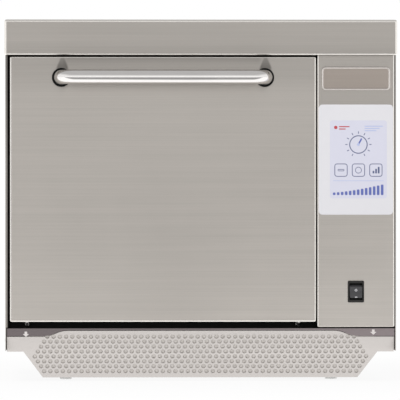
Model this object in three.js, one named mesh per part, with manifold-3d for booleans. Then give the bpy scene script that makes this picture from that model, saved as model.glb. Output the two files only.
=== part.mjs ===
// A countertop speed oven: a stainless case with a drop-down door on the left, a control
// compartment on the right, and the microwave, fan and heater parts that it holds inside.
// Millimetres. +X is to the right seen from the front, +Y to the back and +Z up.
// The oven group has y = 0 on the door's outer face and z = 0 on the worktop.

import * as THREE from 'three';
import { mergeVertices } from 'three/addons/utils/BufferGeometryUtils.js';
import loadSolids from 'manifold-3d';

const wasm = await loadSolids();
wasm.setup();

// Whole oven
const hoodWidth = 598;
const overallHeight = 551;
const caseDepth = 574;
const casingSheet = 1.2;
const frameSheet = 1.5;
const seatGap = 0.3;
const overrun = 2;

// Top cover, a shallow hood over the case
const hoodBand = 54;
const hoodProud = 8;
const hoodLip = 6;
const hoodRearLip = 22;
const foldRadius = 1.6;
const hoodCorner = 3;

// Feet
const footHeight = 46.7;
const footRadius = 20;
const footNeckRadius = 13;
const footPadHeight = 12;
const footStemRadius = 5;
const footStemLength = 16;
const footSideInset = 92.5;
const frontFootY = 128;
const rearFootInset = 52;

// Side panels and base
const sideRecess = 2;
const sideHem = 3.7;
const hemRise = 1.5;
const sideReturn = 16;
const baseFlange = 25;
const intakeFrontInset = 6;
const intakeLength = 42;
const intakeInset = 80;

// Rear panel
const ventSlotWidth = 4;
const ventSlotHeight = 60;
const ventPitch = 10;
const ventCount = 12;
const exhaustRadius = 20;
const exhaustWall = 1;
const exhaustFlange = 9;
const exhaustReach = 14;
const glandHoleRadius = 10;

// Door
const doorGap = 2;
const doorSideGap = 3.2;
const doorSkinDepth = 30;
const doorDepth = 38;
const doorPlateDepth = 12;
const doorPadDepth = 20;
const doorPadMargin = 30;
const chokeWidth = 14;
const chokeDepth = 8;
const chokeCoverThickness = 1.5;
const chokeMargin = 42;
const sealSpace = 4;
const sealWidth = 10;
const sealMargin = 10;

// Handle
const handleRadius = 10.9;
const handleInset = 78.3;
const handleDrop = 32;
const handleReach = 51;
const handleBendRadius = 20;
const collarRadius = 14.4;
const collarLength = 4;

// Door hinge
const pivotBehindFace = 12;
const pivotRise = 3;
const hingeInset = 26;
const earThickness = 4;
const earRadius = 8;
const pinRadius = 3;
const runningGap = 0.3;
const cheekThickness = 3;
const cheekGap = 1;
const carrierHeight = 34;
const carrierDepth = 20;
const hingeFlangeWidth = 28;
const hingeFlangeHeight = 40;
const hingeSlotClearance = 1;

// Door interlock
const tongueThickness = 4;
const tongueHeight = 20;
const tongueReach = 24;
const tongueInset = 15;
const tongueSwing = 7;
const upperTongueDrop = 55;
const lowerTongueDrop = 165;
const switchLength = 28;
const switchDepth = 16;
const switchWidth = 10;

// Strip under the door, and the air filter below it
const sillGap = 10;
const stripHeight = 11.7;
const stripRecess = 3;
const stripInset = 2.5;
const stripRise = 22.3;
const stripCentreHeight = 2.6;
const curveOuterInset = 53.2;
const curveInnerInset = 93.9;
const filterGap = 0.5;
const filterSheet = 1.2;
const filterFloorGap = 6;
const filterTabHeight = 23;
const filterTabInset = 25;
const filterFootInset = 54.6;
const filterLeanDegrees = 23;
const padThickness = 4;
const padClearance = 1;
const ductMargin = 3;
const ductRaise = 3;
const ductRun = 33;

// Control compartment
const panelWidth = 117.6;
const panelSideGap = 1.3;
const panelTuck = 5;
const panelRise = 2;
const overlayHeight = 168;
const overlayMargin = 2;
const overlayDrop = 75;
const overlayThickness = 1;
const overlayCorner = 6;
const displayMargin = 10;
const displayHeight = 128;
const displayDepth = 11;
const boardThickness = 1.6;
const boardHeight = 200;
const boardGap = 9;
const boardPostRadius = 3;
const chipHeight = 5;
const badgeMargin = 6.3;
const badgeHeight = 36;
const badgeDrop = 35.5;
const badgeThickness = 2.4;
const badgeCorner = 7;
const badgeDome = 1;

// Rocker switch
const bezelWidth = 25;
const bezelHeight = 33;
const bezelThickness = 2;
const bezelWall = 3.6;
const bezelSideWall = 2.4;
const bezelBodyDepth = 20;
const bezelCorner = 2;
const bezelRise = 54;
const rockerGap = 0.5;
const rockerEndGap = 1.6;
const rockerDepth = 7;
const rockerTiltDegrees = 8;
const rockerPivotDepth = 3;
const rockerFace = 1.2;
const rockerCrest = 6.3;
const rockerSlope = 3.5;

// Cavity, set in from the door's edges and from the rear compartment
const cavitySideInset = 67;
const cavityRise = 74;
const cavityDrop = 76;
const rearCompartment = 147.4;
const fanSpace = 45;
const linerFlange = 14;
const insulation = 22;
const baffleClearance = 0.5;
const baffleHoleRadius = 7;
const baffleHolePitch = 20;
const baffleRings = 2;

// Rack and its side supports
const ledgeDepth = 12;
const ledgeThickness = 3;
const ledgeRise = 28;
const ledgeEndGap = 22;
const ledgeCount = 3;
const supportClearance = 6;
const supportDrop = 83.7;
const rackFrameRadius = 2.5;
const rackRodRadius = 1.5;
const rackRodCount = 9;
const rackClearance = 3;

// Convection fan, motor and heater
const fanHeaterGap = 20;
const fanDiscThickness = 2;
const fanBladeCount = 12;
const fanBladeDepth = 26;
const fanBladeLength = 24;
const fanBladeThickness = 2;
const fanBladeLeanDegrees = 35;
const fanBladeSink = 0.5;
const fanHubRadius = 12;
const fanBaffleGap = 6;
const shaftRadius = 4;
const heaterWallGap = 32;
const heaterRodRadius = 4;
const heaterTerminalSpread = 14;
const heaterSetback = 18;
const motorRadius = 42;
const motorLength = 68;
const motorEndRadius = 20;
const motorEndLength = 10;
const bulkheadTopInset = 80;

// Stirrer, waveguide and magnetron
const wellSize = 190;
const wellDepth = 24;
const wellCoverMargin = 8;
const wellCoverThickness = 4;
const stirrerClearance = 12;
const stirrerBladeCount = 4;
const stirrerBladeThickness = 1.5;
const stirrerBladeWidth = 46;
const stirrerHubRadius = 12;
const stirrerHubLength = 9;
const stirrerTiltDegrees = 8;
const stirrerMotorRadius = 26;
const stirrerMotorLength = 26;
const guideWidth = 86;
const guideHeight = 43;
const guideStub = 48;
const guideApertureRadius = 32;
const magnetronWidth = 90;
const magnetronDepth = 80;
const magnetronHeight = 88;
const magnetronInset = 14;
const magnetronFinCount = 7;
const magnetronFinThickness = 1.5;
const magnetronYoke = 3;
const magnetronCoreRadius = 19;
const magnetronCapHeight = 16;
const antennaRadius = 8;
const antennaLength = 24;
const antennaClearance = 4;

// High-voltage parts on the base
const coreWidth = 80;
const coreDepth = 64;
const coreHeight = 74;
const coilReach = 16;
const coilHeight = 40;
const transformerInset = 22;
const transformerRearInset = 190;
const capacitorWidth = 54;
const capacitorDepth = 32;
const capacitorHeight = 92;
const capacitorSpace = 24;
const terminalRadius = 3;
const terminalHeight = 9;

// Cooling fan
const coolerSize = 119;
const coolerDepth = 38;
const coolerBore = 55;
const coolerCorner = 6;
const coolerHubRadius = 21;
const coolerBladeCount = 7;
const coolerBladeThickness = 2;
const coolerBladeDepth = 22;
const coolerBladeGap = 2;
const coolerBladeTiltDegrees = 35;
const coolerSpiderDepth = 6;
const coolerSpiderWidth = 5;
const coolerInset = 8;
const coolerRise = 235;

// Cable gland
const glandNutRadius = 14;
const glandNutLength = 6;
const glandDomeRadius = 11.5;
const glandDomeLength = 7;
const glandBoreRadius = 5;
const glandNeckLength = 12;
const glandInset = 70;
const glandRise = 60;

// Counts of flat sides on round forms, and bends
const roundSides = 24;
const smallSides = 12;
const rodSides = 8;
const bendSteps = 5;
const foldSteps = 2;
const curveSteps = 6;

// Places worked out from the sizes above
const hoodHalf = hoodWidth / 2;
const hoodBottom = overallHeight - hoodBand;
const caseTop = overallHeight - casingSheet - seatGap;
const caseHalf = hoodHalf - casingSheet - seatGap;
const insideHalf = caseHalf - casingSheet - seatGap;
const baseBottom = footHeight + seatGap;
const baseTop = baseBottom + casingSheet;
const rearInside = caseDepth - casingSheet;
const footAcross = caseHalf - footSideInset;
const overallDepth = handleReach + caseDepth + exhaustReach;

const stripHalf = caseHalf - stripInset;
const stripBottom = baseBottom + stripRise;
const stripTop = stripBottom + stripHeight;
const curveOuterHalf = stripHalf - curveOuterInset;
const curveInnerHalf = stripHalf - curveInnerInset;
const filterTabHalf = stripHalf - filterTabInset;
const filterFootHalf = stripHalf - filterFootInset;
const filterTop = stripTop - stripCentreHeight - filterGap;
const filterShoulder = stripBottom - filterGap;
const filterTabBottom = filterShoulder - filterTabHeight;
const filterHeight = filterTop - filterFloorGap;
const filterTilt = THREE.MathUtils.degToRad(filterLeanDegrees);
const ductFloor = filterFloorGap + ductRaise;
const intakeHalf = stripHalf - intakeInset;

const panelRight = caseHalf - casingSheet - panelSideGap;
const panelLeft = panelRight - panelWidth;
const panelX = (panelLeft + panelRight) / 2;
const panelTop = hoodBottom + panelTuck;
const panelBottom = stripTop + panelRise;
const badgeWidth = panelWidth - 2 * badgeMargin;
const overlayTop = hoodBottom - overlayDrop;
const overlayZ = overlayTop - overlayHeight / 2;
const overlayWidth = panelWidth - 2 * overlayMargin;
const switchZ = panelBottom + bezelRise;

const doorLeft = sideHem + doorSideGap - caseHalf;
const doorRight = panelLeft - doorGap;
const doorTop = hoodBottom - doorGap;
const doorBottom = stripTop + sillGap;
const doorX = (doorLeft + doorRight) / 2;
const doorWidth = doorRight - doorLeft;
const handleSpacing = doorWidth - 2 * handleInset;
const frameFront = doorDepth + sealSpace;
const frameBack = frameFront + frameSheet;
const linerFront = frameBack + seatGap;
const handleZ = doorTop - handleDrop;
const pivotY = pivotBehindFace;
const pivotZ = doorBottom + pivotRise;

const cavityX = doorX;
const cavityFloor = doorBottom + cavityRise;
const cavityTop = doorTop - cavityDrop;
const cavityHeight = cavityTop - cavityFloor;
const cavityLeft = doorLeft + cavitySideInset;
const cavityRight = doorRight - cavitySideInset;
const cavityWidth = cavityRight - cavityLeft;
const padInside = frameSheet + seatGap;
const padOutside = padInside + insulation;
const bulkheadBack = rearInside - rearCompartment;
const bulkheadFront = bulkheadBack - frameSheet;
const insulationBack = bulkheadFront - seatGap;
const linerInsideBack = insulationBack - padOutside;
const linerBack = linerInsideBack + frameSheet;
const baffleY = linerInsideBack - fanSpace;
const cavityDepth = baffleY - linerFront;
const cavityY = linerFront + cavityDepth / 2;
const fanZ = (cavityFloor + cavityTop) / 2;
const heaterRadius = cavityHeight / 2 - heaterWallGap;
const fanRadius = heaterRadius - fanHeaterGap;
const supportHeight = cavityHeight - seatGap - supportDrop;
const ledgePitch = (supportHeight - ledgeRise - ledgeEndGap) / (ledgeCount - 1);

const wellBottom = cavityFloor - wellDepth;
const guideTop = wellBottom - frameSheet - seatGap;
const guideBottom = guideTop - guideHeight - 2 * frameSheet;
const magnetronX = caseHalf - casingSheet - magnetronInset - magnetronWidth / 2;
const stirrerZ = cavityFloor - wellDepth / 2;

const exhaustX = cavityRight - exhaustRadius - exhaustFlange;
const exhaustZ = cavityTop - exhaustRadius - exhaustFlange;
const coolerX = insideHalf - coolerInset - coolerSize / 2;
const coolerZ = baseTop + coolerRise;
const glandX = insideHalf - glandInset;
const glandZ = baseTop + glandRise;

// A closed solid from a three.js geometry, with shared corners merged.
function solid(geometry) {
  geometry.deleteAttribute('normal');
  geometry.deleteAttribute('uv');
  const shell = mergeVertices(geometry);
  const triVerts = [];
  for (let i = 0; i < shell.index.count; i += 3) {
    const [a, b, c] = [0, 1, 2].map((corner) => shell.index.getX(i + corner));
    if (a !== b && b !== c && c !== a) triVerts.push(a, b, c);
  }
  return new wasm.Manifold(new wasm.Mesh({
    numProp: 3,
    vertProperties: new Float32Array(shell.attributes.position.array),
    triVerts: new Uint32Array(triVerts),
  }));
}

function cut(body, ...tools) {
  return tools.reduce((rest, tool) => rest.subtract(tool), body);
}

function join(...bodies) {
  return bodies.reduce((sum, body) => sum.add(body));
}

// A box between two limits on each axis.
function slab([x0, x1], [y0, y1], [z0, z1]) {
  const box = new THREE.BoxGeometry(x1 - x0, y1 - y0, z1 - z0);
  box.translate((x0 + x1) / 2, (y0 + y1) / 2, (z0 + z1) / 2);
  return solid(box);
}

// Limits of a size centred on a place.
function about(centre, size) {
  return [centre - size / 2, centre + size / 2];
}

// Two limits put in order.
function between(a, b) {
  return [Math.min(a, b), Math.max(a, b)];
}

// A round bar along one axis, from one limit to the other.
function bar(axis, radius, [from, to], [u, v], sides = roundSides) {
  const cylinder = new THREE.CylinderGeometry(radius, radius, to - from, sides);
  const middle = (from + to) / 2;
  if (axis === 'x') cylinder.rotateZ(-Math.PI / 2).translate(middle, u, v);
  if (axis === 'y') cylinder.translate(u, middle, v);
  if (axis === 'z') cylinder.rotateX(Math.PI / 2).translate(u, v, middle);
  return solid(cylinder);
}

// A profile of [radius, distance] points turned about an axis through [u, v].
function turned(axis, profile, [u, v], sides = roundSides) {
  const points = profile.map(([radius, along]) => new THREE.Vector2(radius, along));
  const lathe = new THREE.LatheGeometry(points, sides);
  if (axis === 'y') lathe.translate(u, 0, v);
  if (axis === 'z') lathe.rotateX(Math.PI / 2).translate(u, v, 0);
  const body = solid(lathe);
  return body.volume() < 0 ? solid(flipped(lathe)) : body;
}

function flipped(geometry) {
  const index = geometry.index.array;
  for (let i = 0; i < index.length; i += 3) [index[i], index[i + 1]] = [index[i + 1], index[i]];
  return geometry;
}

// An outline of [x, z] points, with rounded corners where a radius is given.
function rectangle([x0, x1], [z0, z1], radius = 0) {
  const outline = new THREE.Shape();
  if (radius === 0) {
    outline.setFromPoints([[x0, z0], [x1, z0], [x1, z1], [x0, z1]].map((p) => new THREE.Vector2(...p)));
    return outline;
  }
  const quarter = Math.PI / 2;
  outline.absarc(x1 - radius, z1 - radius, radius, 0, quarter);
  outline.absarc(x0 + radius, z1 - radius, radius, quarter, 2 * quarter);
  outline.absarc(x0 + radius, z0 + radius, radius, 2 * quarter, 3 * quarter);
  outline.absarc(x1 - radius, z0 + radius, radius, 3 * quarter, 4 * quarter);
  return outline;
}

function outlineOf(points) {
  return new THREE.Shape(points.map(([u, v]) => new THREE.Vector2(u, v)));
}

// An [x, z] outline given thickness along Y.
function facing(outline, [front, back], steps = curveSteps) {
  const plate = new THREE.ExtrudeGeometry(outline, {
    depth: back - front,
    bevelEnabled: false,
    curveSegments: steps,
  });
  plate.rotateX(Math.PI / 2).translate(0, back, 0);
  return solid(plate);
}

// The same with its front edges rounded over, as on a folded or pressed sheet.
function pressed(outline, [front, back], edge, steps = curveSteps) {
  const plate = new THREE.ExtrudeGeometry(outline, {
    depth: back - front,
    bevelThickness: edge,
    bevelSize: edge,
    bevelOffset: -edge,
    bevelSegments: foldSteps,
    curveSegments: steps,
  });
  plate.rotateX(Math.PI / 2).translate(0, back + edge, 0);
  const reach = hoodWidth + overallHeight;
  return cut(solid(plate), slab([-reach, reach], [back, back + 2 * edge + overrun], [-reach, reach]));
}

// A [y, z] outline carried along X.
function across(outline, [from, to], steps = curveSteps) {
  const prism = new THREE.ExtrudeGeometry(outline, {
    depth: to - from,
    bevelEnabled: false,
    curveSegments: steps,
  });
  const turn = new THREE.Matrix4().makeBasis(
    new THREE.Vector3(0, 1, 0),
    new THREE.Vector3(0, 0, 1),
    new THREE.Vector3(1, 0, 0),
  );
  return solid(prism.applyMatrix4(turn).translate(from, 0, 0));
}

// A colour with the roughness and metalness of its finish.
function finish(color, roughness, metalness) {
  return new THREE.MeshStandardMaterial({ color, roughness, metalness });
}

function brushedSteel() {
  return finish(0xb4aea6, 0.38, 1);
}

function sheetSteel() {
  return finish(0xa8a6a2, 0.45, 1);
}

function polishedSteel() {
  return finish(0xd8d6d2, 0.12, 1);
}

function blackPlastic() {
  return finish(0x17181a, 0.5, 0);
}

function greyPlastic() {
  return finish(0x77797c, 0.6, 0);
}

function whitePlastic() {
  return finish(0xe4e5e9, 0.35, 0);
}

function castAluminium() {
  return finish(0xc2c4c6, 0.5, 1);
}

function glassWool() {
  return finish(0xd9cfa6, 0.95, 0);
}

function ceramic() {
  return finish(0xe8e2d4, 0.4, 0);
}

function rubber() {
  return finish(0x202122, 0.85, 0);
}

function circuitGreen() {
  return finish(0x1f6a3c, 0.5, 0);
}

const oven = new THREE.Group();
oven.position.y = handleReach - overallDepth / 2;

// Adds a solid to a group as one named mesh.
function part(name, body, material, group = oven) {
  const { vertProperties, triVerts } = body.getMesh();
  const geometry = new THREE.BufferGeometry();
  geometry.setAttribute('position', new THREE.BufferAttribute(vertProperties, 3));
  geometry.setIndex(new THREE.BufferAttribute(triVerts, 1));
  geometry.computeVertexNormals();
  const mesh = new THREE.Mesh(geometry, material);
  mesh.name = name;
  group.add(mesh);
  return mesh;
}

function topCover() {
  const back = caseDepth + seatGap + casingSheet;
  const outside = pressed(
    rectangle([-hoodHalf, hoodHalf], [hoodBottom, overallHeight], hoodCorner),
    [-hoodProud, back],
    foldRadius,
  );
  const inside = slab(
    [casingSheet - hoodHalf, hoodHalf - casingSheet],
    [casingSheet - hoodProud, back - casingSheet],
    [hoodBottom - overrun, overallHeight - casingSheet],
  );
  const lip = slab(
    [casingSheet - hoodHalf, hoodHalf - casingSheet],
    [0, hoodLip].map((y) => y - hoodProud + casingSheet / 2),
    [hoodBottom, hoodBottom + casingSheet],
  );
  const rearCut = slab(
    [-hoodHalf - overrun, hoodHalf + overrun],
    [caseDepth + seatGap, back + overrun],
    [hoodBottom - overrun, overallHeight - hoodRearLip],
  );
  part('top_cover', cut(join(cut(outside, inside), lip), rearCut), brushedSteel());
}

function sidePanel(name, side, hem) {
  const outer = side * caseHalf;
  const inner = side * (caseHalf - casingSheet);
  const sheet = slab(between(outer, inner), [sideRecess, caseDepth], [baseBottom, caseTop]);
  const edge = slab(
    between(inner, side * (caseHalf - hem)),
    [sideRecess, sideRecess + casingSheet],
    [stripTop + hemRise, caseTop],
  );
  part(name, hem > casingSheet ? join(sheet, edge) : sheet, brushedSteel());
}

function rearPanel() {
  const panel = slab([-insideHalf, insideHalf], [rearInside, caseDepth], [baseBottom, caseTop]);
  const through = [rearInside - overrun, caseDepth + overrun];
  const slots = [];
  for (const rowZ of [coolerZ - coolerSize / 4, coolerZ + coolerSize / 4]) {
    for (let i = 0; i < ventCount; i += 1) {
      const x = coolerX + (i - (ventCount - 1) / 2) * ventPitch;
      slots.push(slab(about(x, ventSlotWidth), through, about(rowZ, coolerSize / 2 - ventPitch)));
    }
  }
  for (let i = 0; i < 2 * ventCount; i += 1) {
    const x = cavityX + (i - ventCount + 1 / 2) * ventPitch;
    slots.push(slab(about(x, ventSlotWidth), through, about(fanZ, ventSlotHeight)));
  }
  const exhaust = bar('y', exhaustRadius + seatGap, through, [exhaustX, exhaustZ]);
  const gland = bar('y', glandHoleRadius, through, [glandX, glandZ]);
  part('rear_panel', cut(panel, exhaust, gland, ...slots), brushedSteel());
}

function basePan() {
  const back = rearInside - seatGap;
  const tray = cut(
    slab([-insideHalf, insideHalf], [linerFront, back], [baseBottom, baseTop + baseFlange]),
    slab(
      [casingSheet - insideHalf, insideHalf - casingSheet],
      [linerFront - overrun, back - casingSheet],
      [baseTop, baseTop + baseFlange + overrun],
    ),
  );
  const intakeFront = linerFront + intakeFrontInset;
  const intake = slab(
    [-intakeHalf, intakeHalf],
    [intakeFront, intakeFront + intakeLength],
    [baseBottom - overrun, baseTop + overrun],
  );
  const stems = footPlaces().map(([x, y]) => (
    bar('z', footStemRadius + seatGap, [baseBottom - overrun, baseTop + overrun], [x, y])
  ));
  part('base_pan', cut(tray, intake, ...stems), sheetSteel());
}

function footPlaces() {
  const rearFootY = rearInside - rearFootInset;
  return [
    [-footAcross, frontFootY],
    [footAcross, frontFootY],
    [-footAcross, rearFootY],
    [footAcross, rearFootY],
  ];
}

function feet() {
  const names = ['foot_front_left', 'foot_front_right', 'foot_rear_left', 'foot_rear_right'];
  footPlaces().forEach(([x, y], i) => {
    const body = turned('z', [
      [0, 0],
      [footRadius, 0],
      [footRadius, footPadHeight],
      [footNeckRadius, footPadHeight],
      [footNeckRadius, footHeight],
      [footStemRadius, footHeight],
      [footStemRadius, footHeight + footStemLength],
      [0, footHeight + footStemLength],
    ], [0, 0], smallSides);
    part(names[i], body, rubber()).position.set(x, y, 0);
  });
}

// The lower edge of the strip, and the filter plate's upper edge, rise in the middle by an S-curve.
function risingEdge(outline, low, high) {
  const middle = (curveOuterHalf + curveInnerHalf) / 2;
  outline.lineTo(-curveOuterHalf, low);
  outline.bezierCurveTo(-middle, low, -middle, high, -curveInnerHalf, high);
  outline.lineTo(curveInnerHalf, high);
  outline.bezierCurveTo(middle, high, middle, low, curveOuterHalf, low);
}

function baseStrip() {
  const outline = new THREE.Shape();
  outline.moveTo(-stripHalf, stripTop);
  outline.lineTo(-stripHalf, stripBottom);
  risingEdge(outline, stripBottom, stripTop - stripCentreHeight);
  outline.lineTo(stripHalf, stripBottom);
  outline.lineTo(stripHalf, stripTop);
  const strip = facing(outline, [stripRecess, stripRecess + casingSheet]);
  const ledge = slab(
    [-stripHalf, stripHalf],
    [stripRecess, frameFront - seatGap],
    [stripTop - casingSheet, stripTop],
  );
  part('base_front_strip', join(strip, ledge), sheetSteel());
}

const filterGroup = new THREE.Group();
filterGroup.rotation.x = filterTilt;
filterGroup.position.set(0, stripRecess + filterSheet / Math.cos(filterTilt), filterTop);
oven.add(filterGroup);

// Distance down the leaning plate for a height below its upper edge.
function slope(drop) {
  return drop / Math.cos(filterTilt);
}

function filterPlate() {
  const shoulder = -slope(filterTop - filterShoulder);
  const tab = -slope(filterTop - filterTabBottom);
  const foot = -slope(filterHeight);
  const outline = new THREE.Shape();
  outline.moveTo(-filterFootHalf, foot);
  outline.lineTo(-filterTabHalf, tab);
  outline.lineTo(-stripHalf, tab);
  outline.lineTo(-stripHalf, shoulder);
  risingEdge(outline, shoulder, 0);
  outline.lineTo(stripHalf, shoulder);
  outline.lineTo(stripHalf, tab);
  outline.lineTo(filterTabHalf, tab);
  outline.lineTo(filterFootHalf, foot);
  part('air_filter_plate', facing(outline, [-filterSheet, 0]), brushedSteel(), filterGroup);
}

// The duct behind the plate, seen from the front, drawn in by a distance and cut off at two heights.
// It follows the plate's slanted ends up to the tabs.
function ductCorners(inset, low, high) {
  const slant = (filterTabHalf - filterFootHalf) / (filterTabBottom - filterFloorGap);
  const tabHalf = filterTabHalf - ductMargin - inset;
  const right = [
    [tabHalf - slant * (filterTabBottom - low), low],
    [tabHalf, filterTabBottom],
    [tabHalf, high],
  ];
  return [...right, ...right.map(([x, z]) => [-x, z]).reverse()];
}

function filterPad() {
  const top = filterTop - casingSheet - padClearance - padThickness * Math.sin(filterTilt);
  const floor = ductFloor + casingSheet + 2 * padClearance;
  const corners = ductCorners(casingSheet + padClearance, floor, top);
  const outline = outlineOf(corners.map(([x, z]) => [x, -slope(filterTop - z)]));
  const pad = facing(outline, [seatGap, seatGap + padThickness]);
  part('air_filter_mesh', pad, finish(0xb8b2ac, 0.8, 0), filterGroup);
}

// Y of the plane that the filter plate rests against, at a height.
function mouthY(z) {
  const plate = stripRecess + (filterSheet + seatGap) / Math.cos(filterTilt);
  return plate + (filterTop - z) * Math.tan(filterTilt);
}

function intakeDuct() {
  const top = filterTop - seatGap;
  const back = frameFront - seatGap;
  const rearTop = linerFront + intakeFrontInset + intakeLength + seatGap + casingSheet;
  const underside = baseBottom - seatGap;
  const rearFoot = mouthY(ductFloor) + ductRun;
  const outside = across(outlineOf([
    [mouthY(top), top],
    [mouthY(ductFloor), ductFloor],
    [rearFoot, ductFloor],
    [rearTop, underside],
    [back, underside],
    [back, top],
  ]), [-stripHalf, stripHalf]);
  const floor = ductFloor + casingSheet;
  const lean = Math.tan(filterTilt);
  const innerTop = top - casingSheet;
  const inside = across(outlineOf([
    [mouthY(innerTop) - overrun, innerTop],
    [mouthY(floor) - overrun * lean - overrun, floor],
    [rearFoot - casingSheet, floor],
    [rearTop - 2 * casingSheet, underside + overrun],
    [back - casingSheet, underside + overrun],
    [back - casingSheet, innerTop],
  ]), [-stripHalf, stripHalf]);
  const [wide, narrow] = [0, casingSheet].map((inset) => facing(
    outlineOf(ductCorners(inset, ductFloor - overrun, top + overrun)),
    [stripRecess, rearTop],
  ));
  part('intake_duct', cut(outside.intersect(wide), inside.intersect(narrow)), sheetSteel());
}

function frontFrame() {
  const sheet = slab([-insideHalf, insideHalf], [frameFront, frameBack], [baseBottom, caseTop]);
  const through = [frameFront - overrun, frameBack + overrun];
  const cavity = slab([cavityLeft, cavityRight], through, [cavityFloor, cavityTop]);
  const control = slab(
    [panelLeft + sideReturn, panelRight - sideReturn],
    through,
    [panelBottom + sideReturn, hoodBottom - sideReturn],
  );
  const slots = hingePlaces().map((x) => slab(
    about(x, earThickness + 2 * hingeSlotClearance),
    through,
    about(pivotZ, 2 * (earRadius + hingeSlotClearance)),
  ));
  const tongueSlots = tonguePlaces().map((z) => slab(
    about(tongueX(), tongueThickness + 2 * hingeSlotClearance),
    through,
    [z - tongueHeight / 2 - hingeSlotClearance, z + tongueHeight / 2 + tongueSwing],
  ));
  part('front_frame', cut(sheet, cavity, control, ...slots, ...tongueSlots), sheetSteel());
}

function doorSkin() {
  const outside = pressed(
    rectangle([doorLeft, doorRight], [doorBottom, doorTop]),
    [0, doorSkinDepth],
    foldRadius,
  );
  const inside = slab(
    [doorLeft + casingSheet, doorRight - casingSheet],
    [casingSheet, doorSkinDepth + overrun],
    [doorBottom + casingSheet, doorTop - casingSheet],
  );
  const notches = hingePlaces().map((x) => slab(
    about(x, 2 * hingeHalf() + 2 * hingeSlotClearance),
    [casingSheet, doorSkinDepth + overrun],
    [doorBottom - overrun, doorBottom + casingSheet + overrun],
  ));
  part('door_skin', cut(outside, inside, ...notches), brushedSteel());
}

// Inner door plate: a pressed tray with the choke's groove round a raised middle.
function doorInnerPlate() {
  const margin = casingSheet + seatGap;
  const x = [doorLeft + margin, doorRight - margin];
  const z = [doorBottom + margin, doorTop - margin];
  const front = doorDepth - doorPlateDepth;
  const tray = cut(
    slab(x, [front, doorDepth], z),
    slab(
      [x[0] + frameSheet, x[1] - frameSheet],
      [front - overrun, doorDepth - frameSheet],
      [z[0] + frameSheet, z[1] - frameSheet],
    ),
  );
  const ring = (grow, [y0, y1]) => slab(
    [cavityLeft - chokeMargin - grow, cavityRight + chokeMargin + grow],
    [y0, y1],
    [cavityFloor - chokeMargin - grow, cavityTop + chokeMargin + grow],
  );
  const troughY = [doorDepth - chokeDepth - frameSheet, doorDepth - frameSheet / 2];
  const trough = cut(
    ring(frameSheet, troughY),
    ring(-chokeWidth - frameSheet, [troughY[0] - overrun, doorDepth]),
  );
  const groove = cut(
    ring(0, [doorDepth - chokeDepth, doorDepth + overrun]),
    ring(-chokeWidth, [doorDepth - chokeDepth - overrun, doorDepth + 2 * overrun]),
  );
  const notches = hingePlaces().map((hingeX) => slab(
    about(hingeX, 2 * hingeHalf() + 2 * hingeSlotClearance),
    [front - overrun, doorDepth + overrun],
    [z[0] - overrun, pivotZ + earRadius + 2 * hingeSlotClearance],
  ));
  part('door_inner_plate', cut(join(tray, trough), groove, ...notches), polishedSteel());
}

function chokeCover() {
  const gap = seatGap;
  const ring = (grow, y) => slab(
    [cavityLeft - chokeMargin - grow, cavityRight + chokeMargin + grow],
    y,
    [cavityFloor - chokeMargin - grow, cavityTop + chokeMargin + grow],
  );
  const y = [doorDepth - chokeDepth + gap, doorDepth - chokeCoverThickness];
  const cover = cut(ring(-gap, y), ring(gap - chokeWidth, [y[0] - overrun, y[1] + overrun]));
  part('choke_cover', cover, whitePlastic());
}

function doorPad() {
  const front = casingSheet + seatGap;
  const pad = slab(
    [doorLeft + doorPadMargin, doorRight - doorPadMargin],
    [front, front + doorPadDepth],
    [doorBottom + doorPadMargin + carrierHeight, doorTop - doorPadMargin],
  );
  part('door_insulation', pad, glassWool());
}

function doorSeal() {
  const ring = (grow, y) => slab(
    [cavityLeft - grow, cavityRight + grow],
    y,
    [cavityFloor - grow, cavityTop + grow],
  );
  const y = [doorDepth + seatGap, frameFront - seatGap];
  const outer = ring(sealMargin + sealWidth, y);
  part('door_seal', cut(outer, ring(sealMargin, [y[0] - overrun, y[1] + overrun])), rubber());
}

function handle() {
  const centre = handleRadius - handleReach;
  const left = doorX - handleSpacing / 2;
  const right = doorX + handleSpacing / 2;
  const bend = handleBendRadius;
  const route = new THREE.CurvePath();
  const at = (x, y) => new THREE.Vector3(x, y, handleZ);
  const quarterTurn = (from, corner, to) => new THREE.QuadraticBezierCurve3(from, corner, to);
  route.add(new THREE.LineCurve3(at(left, -seatGap), at(left, centre + bend)));
  route.add(quarterTurn(at(left, centre + bend), at(left, centre), at(left + bend, centre)));
  route.add(new THREE.LineCurve3(at(left + bend, centre), at(right - bend, centre)));
  route.add(quarterTurn(at(right - bend, centre), at(right, centre), at(right, centre + bend)));
  route.add(new THREE.LineCurve3(at(right, centre + bend), at(right, -seatGap)));
  const stations = route.curves.flatMap((piece, i) => {
    const steps = i % 2 === 0 ? 1 : bendSteps;
    return piece.getPoints(steps).slice(i === 0 ? 0 : 1);
  });
  part('handle_bar', sweptTube(stations, handleRadius, roundSides), polishedSteel());
  for (const [name, x] of [['handle_collar_left', left], ['handle_collar_right', right]]) {
    const bore = handleRadius + seatGap;
    const ring = turned('y', [
      [bore, -collarLength - seatGap],
      [bore, -seatGap],
      [collarRadius, -seatGap],
      [collarRadius, -collarLength - seatGap],
      [bore, -collarLength - seatGap],
    ], [x, handleZ]);
    part(name, ring, blackPlastic());
  }
}

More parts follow.
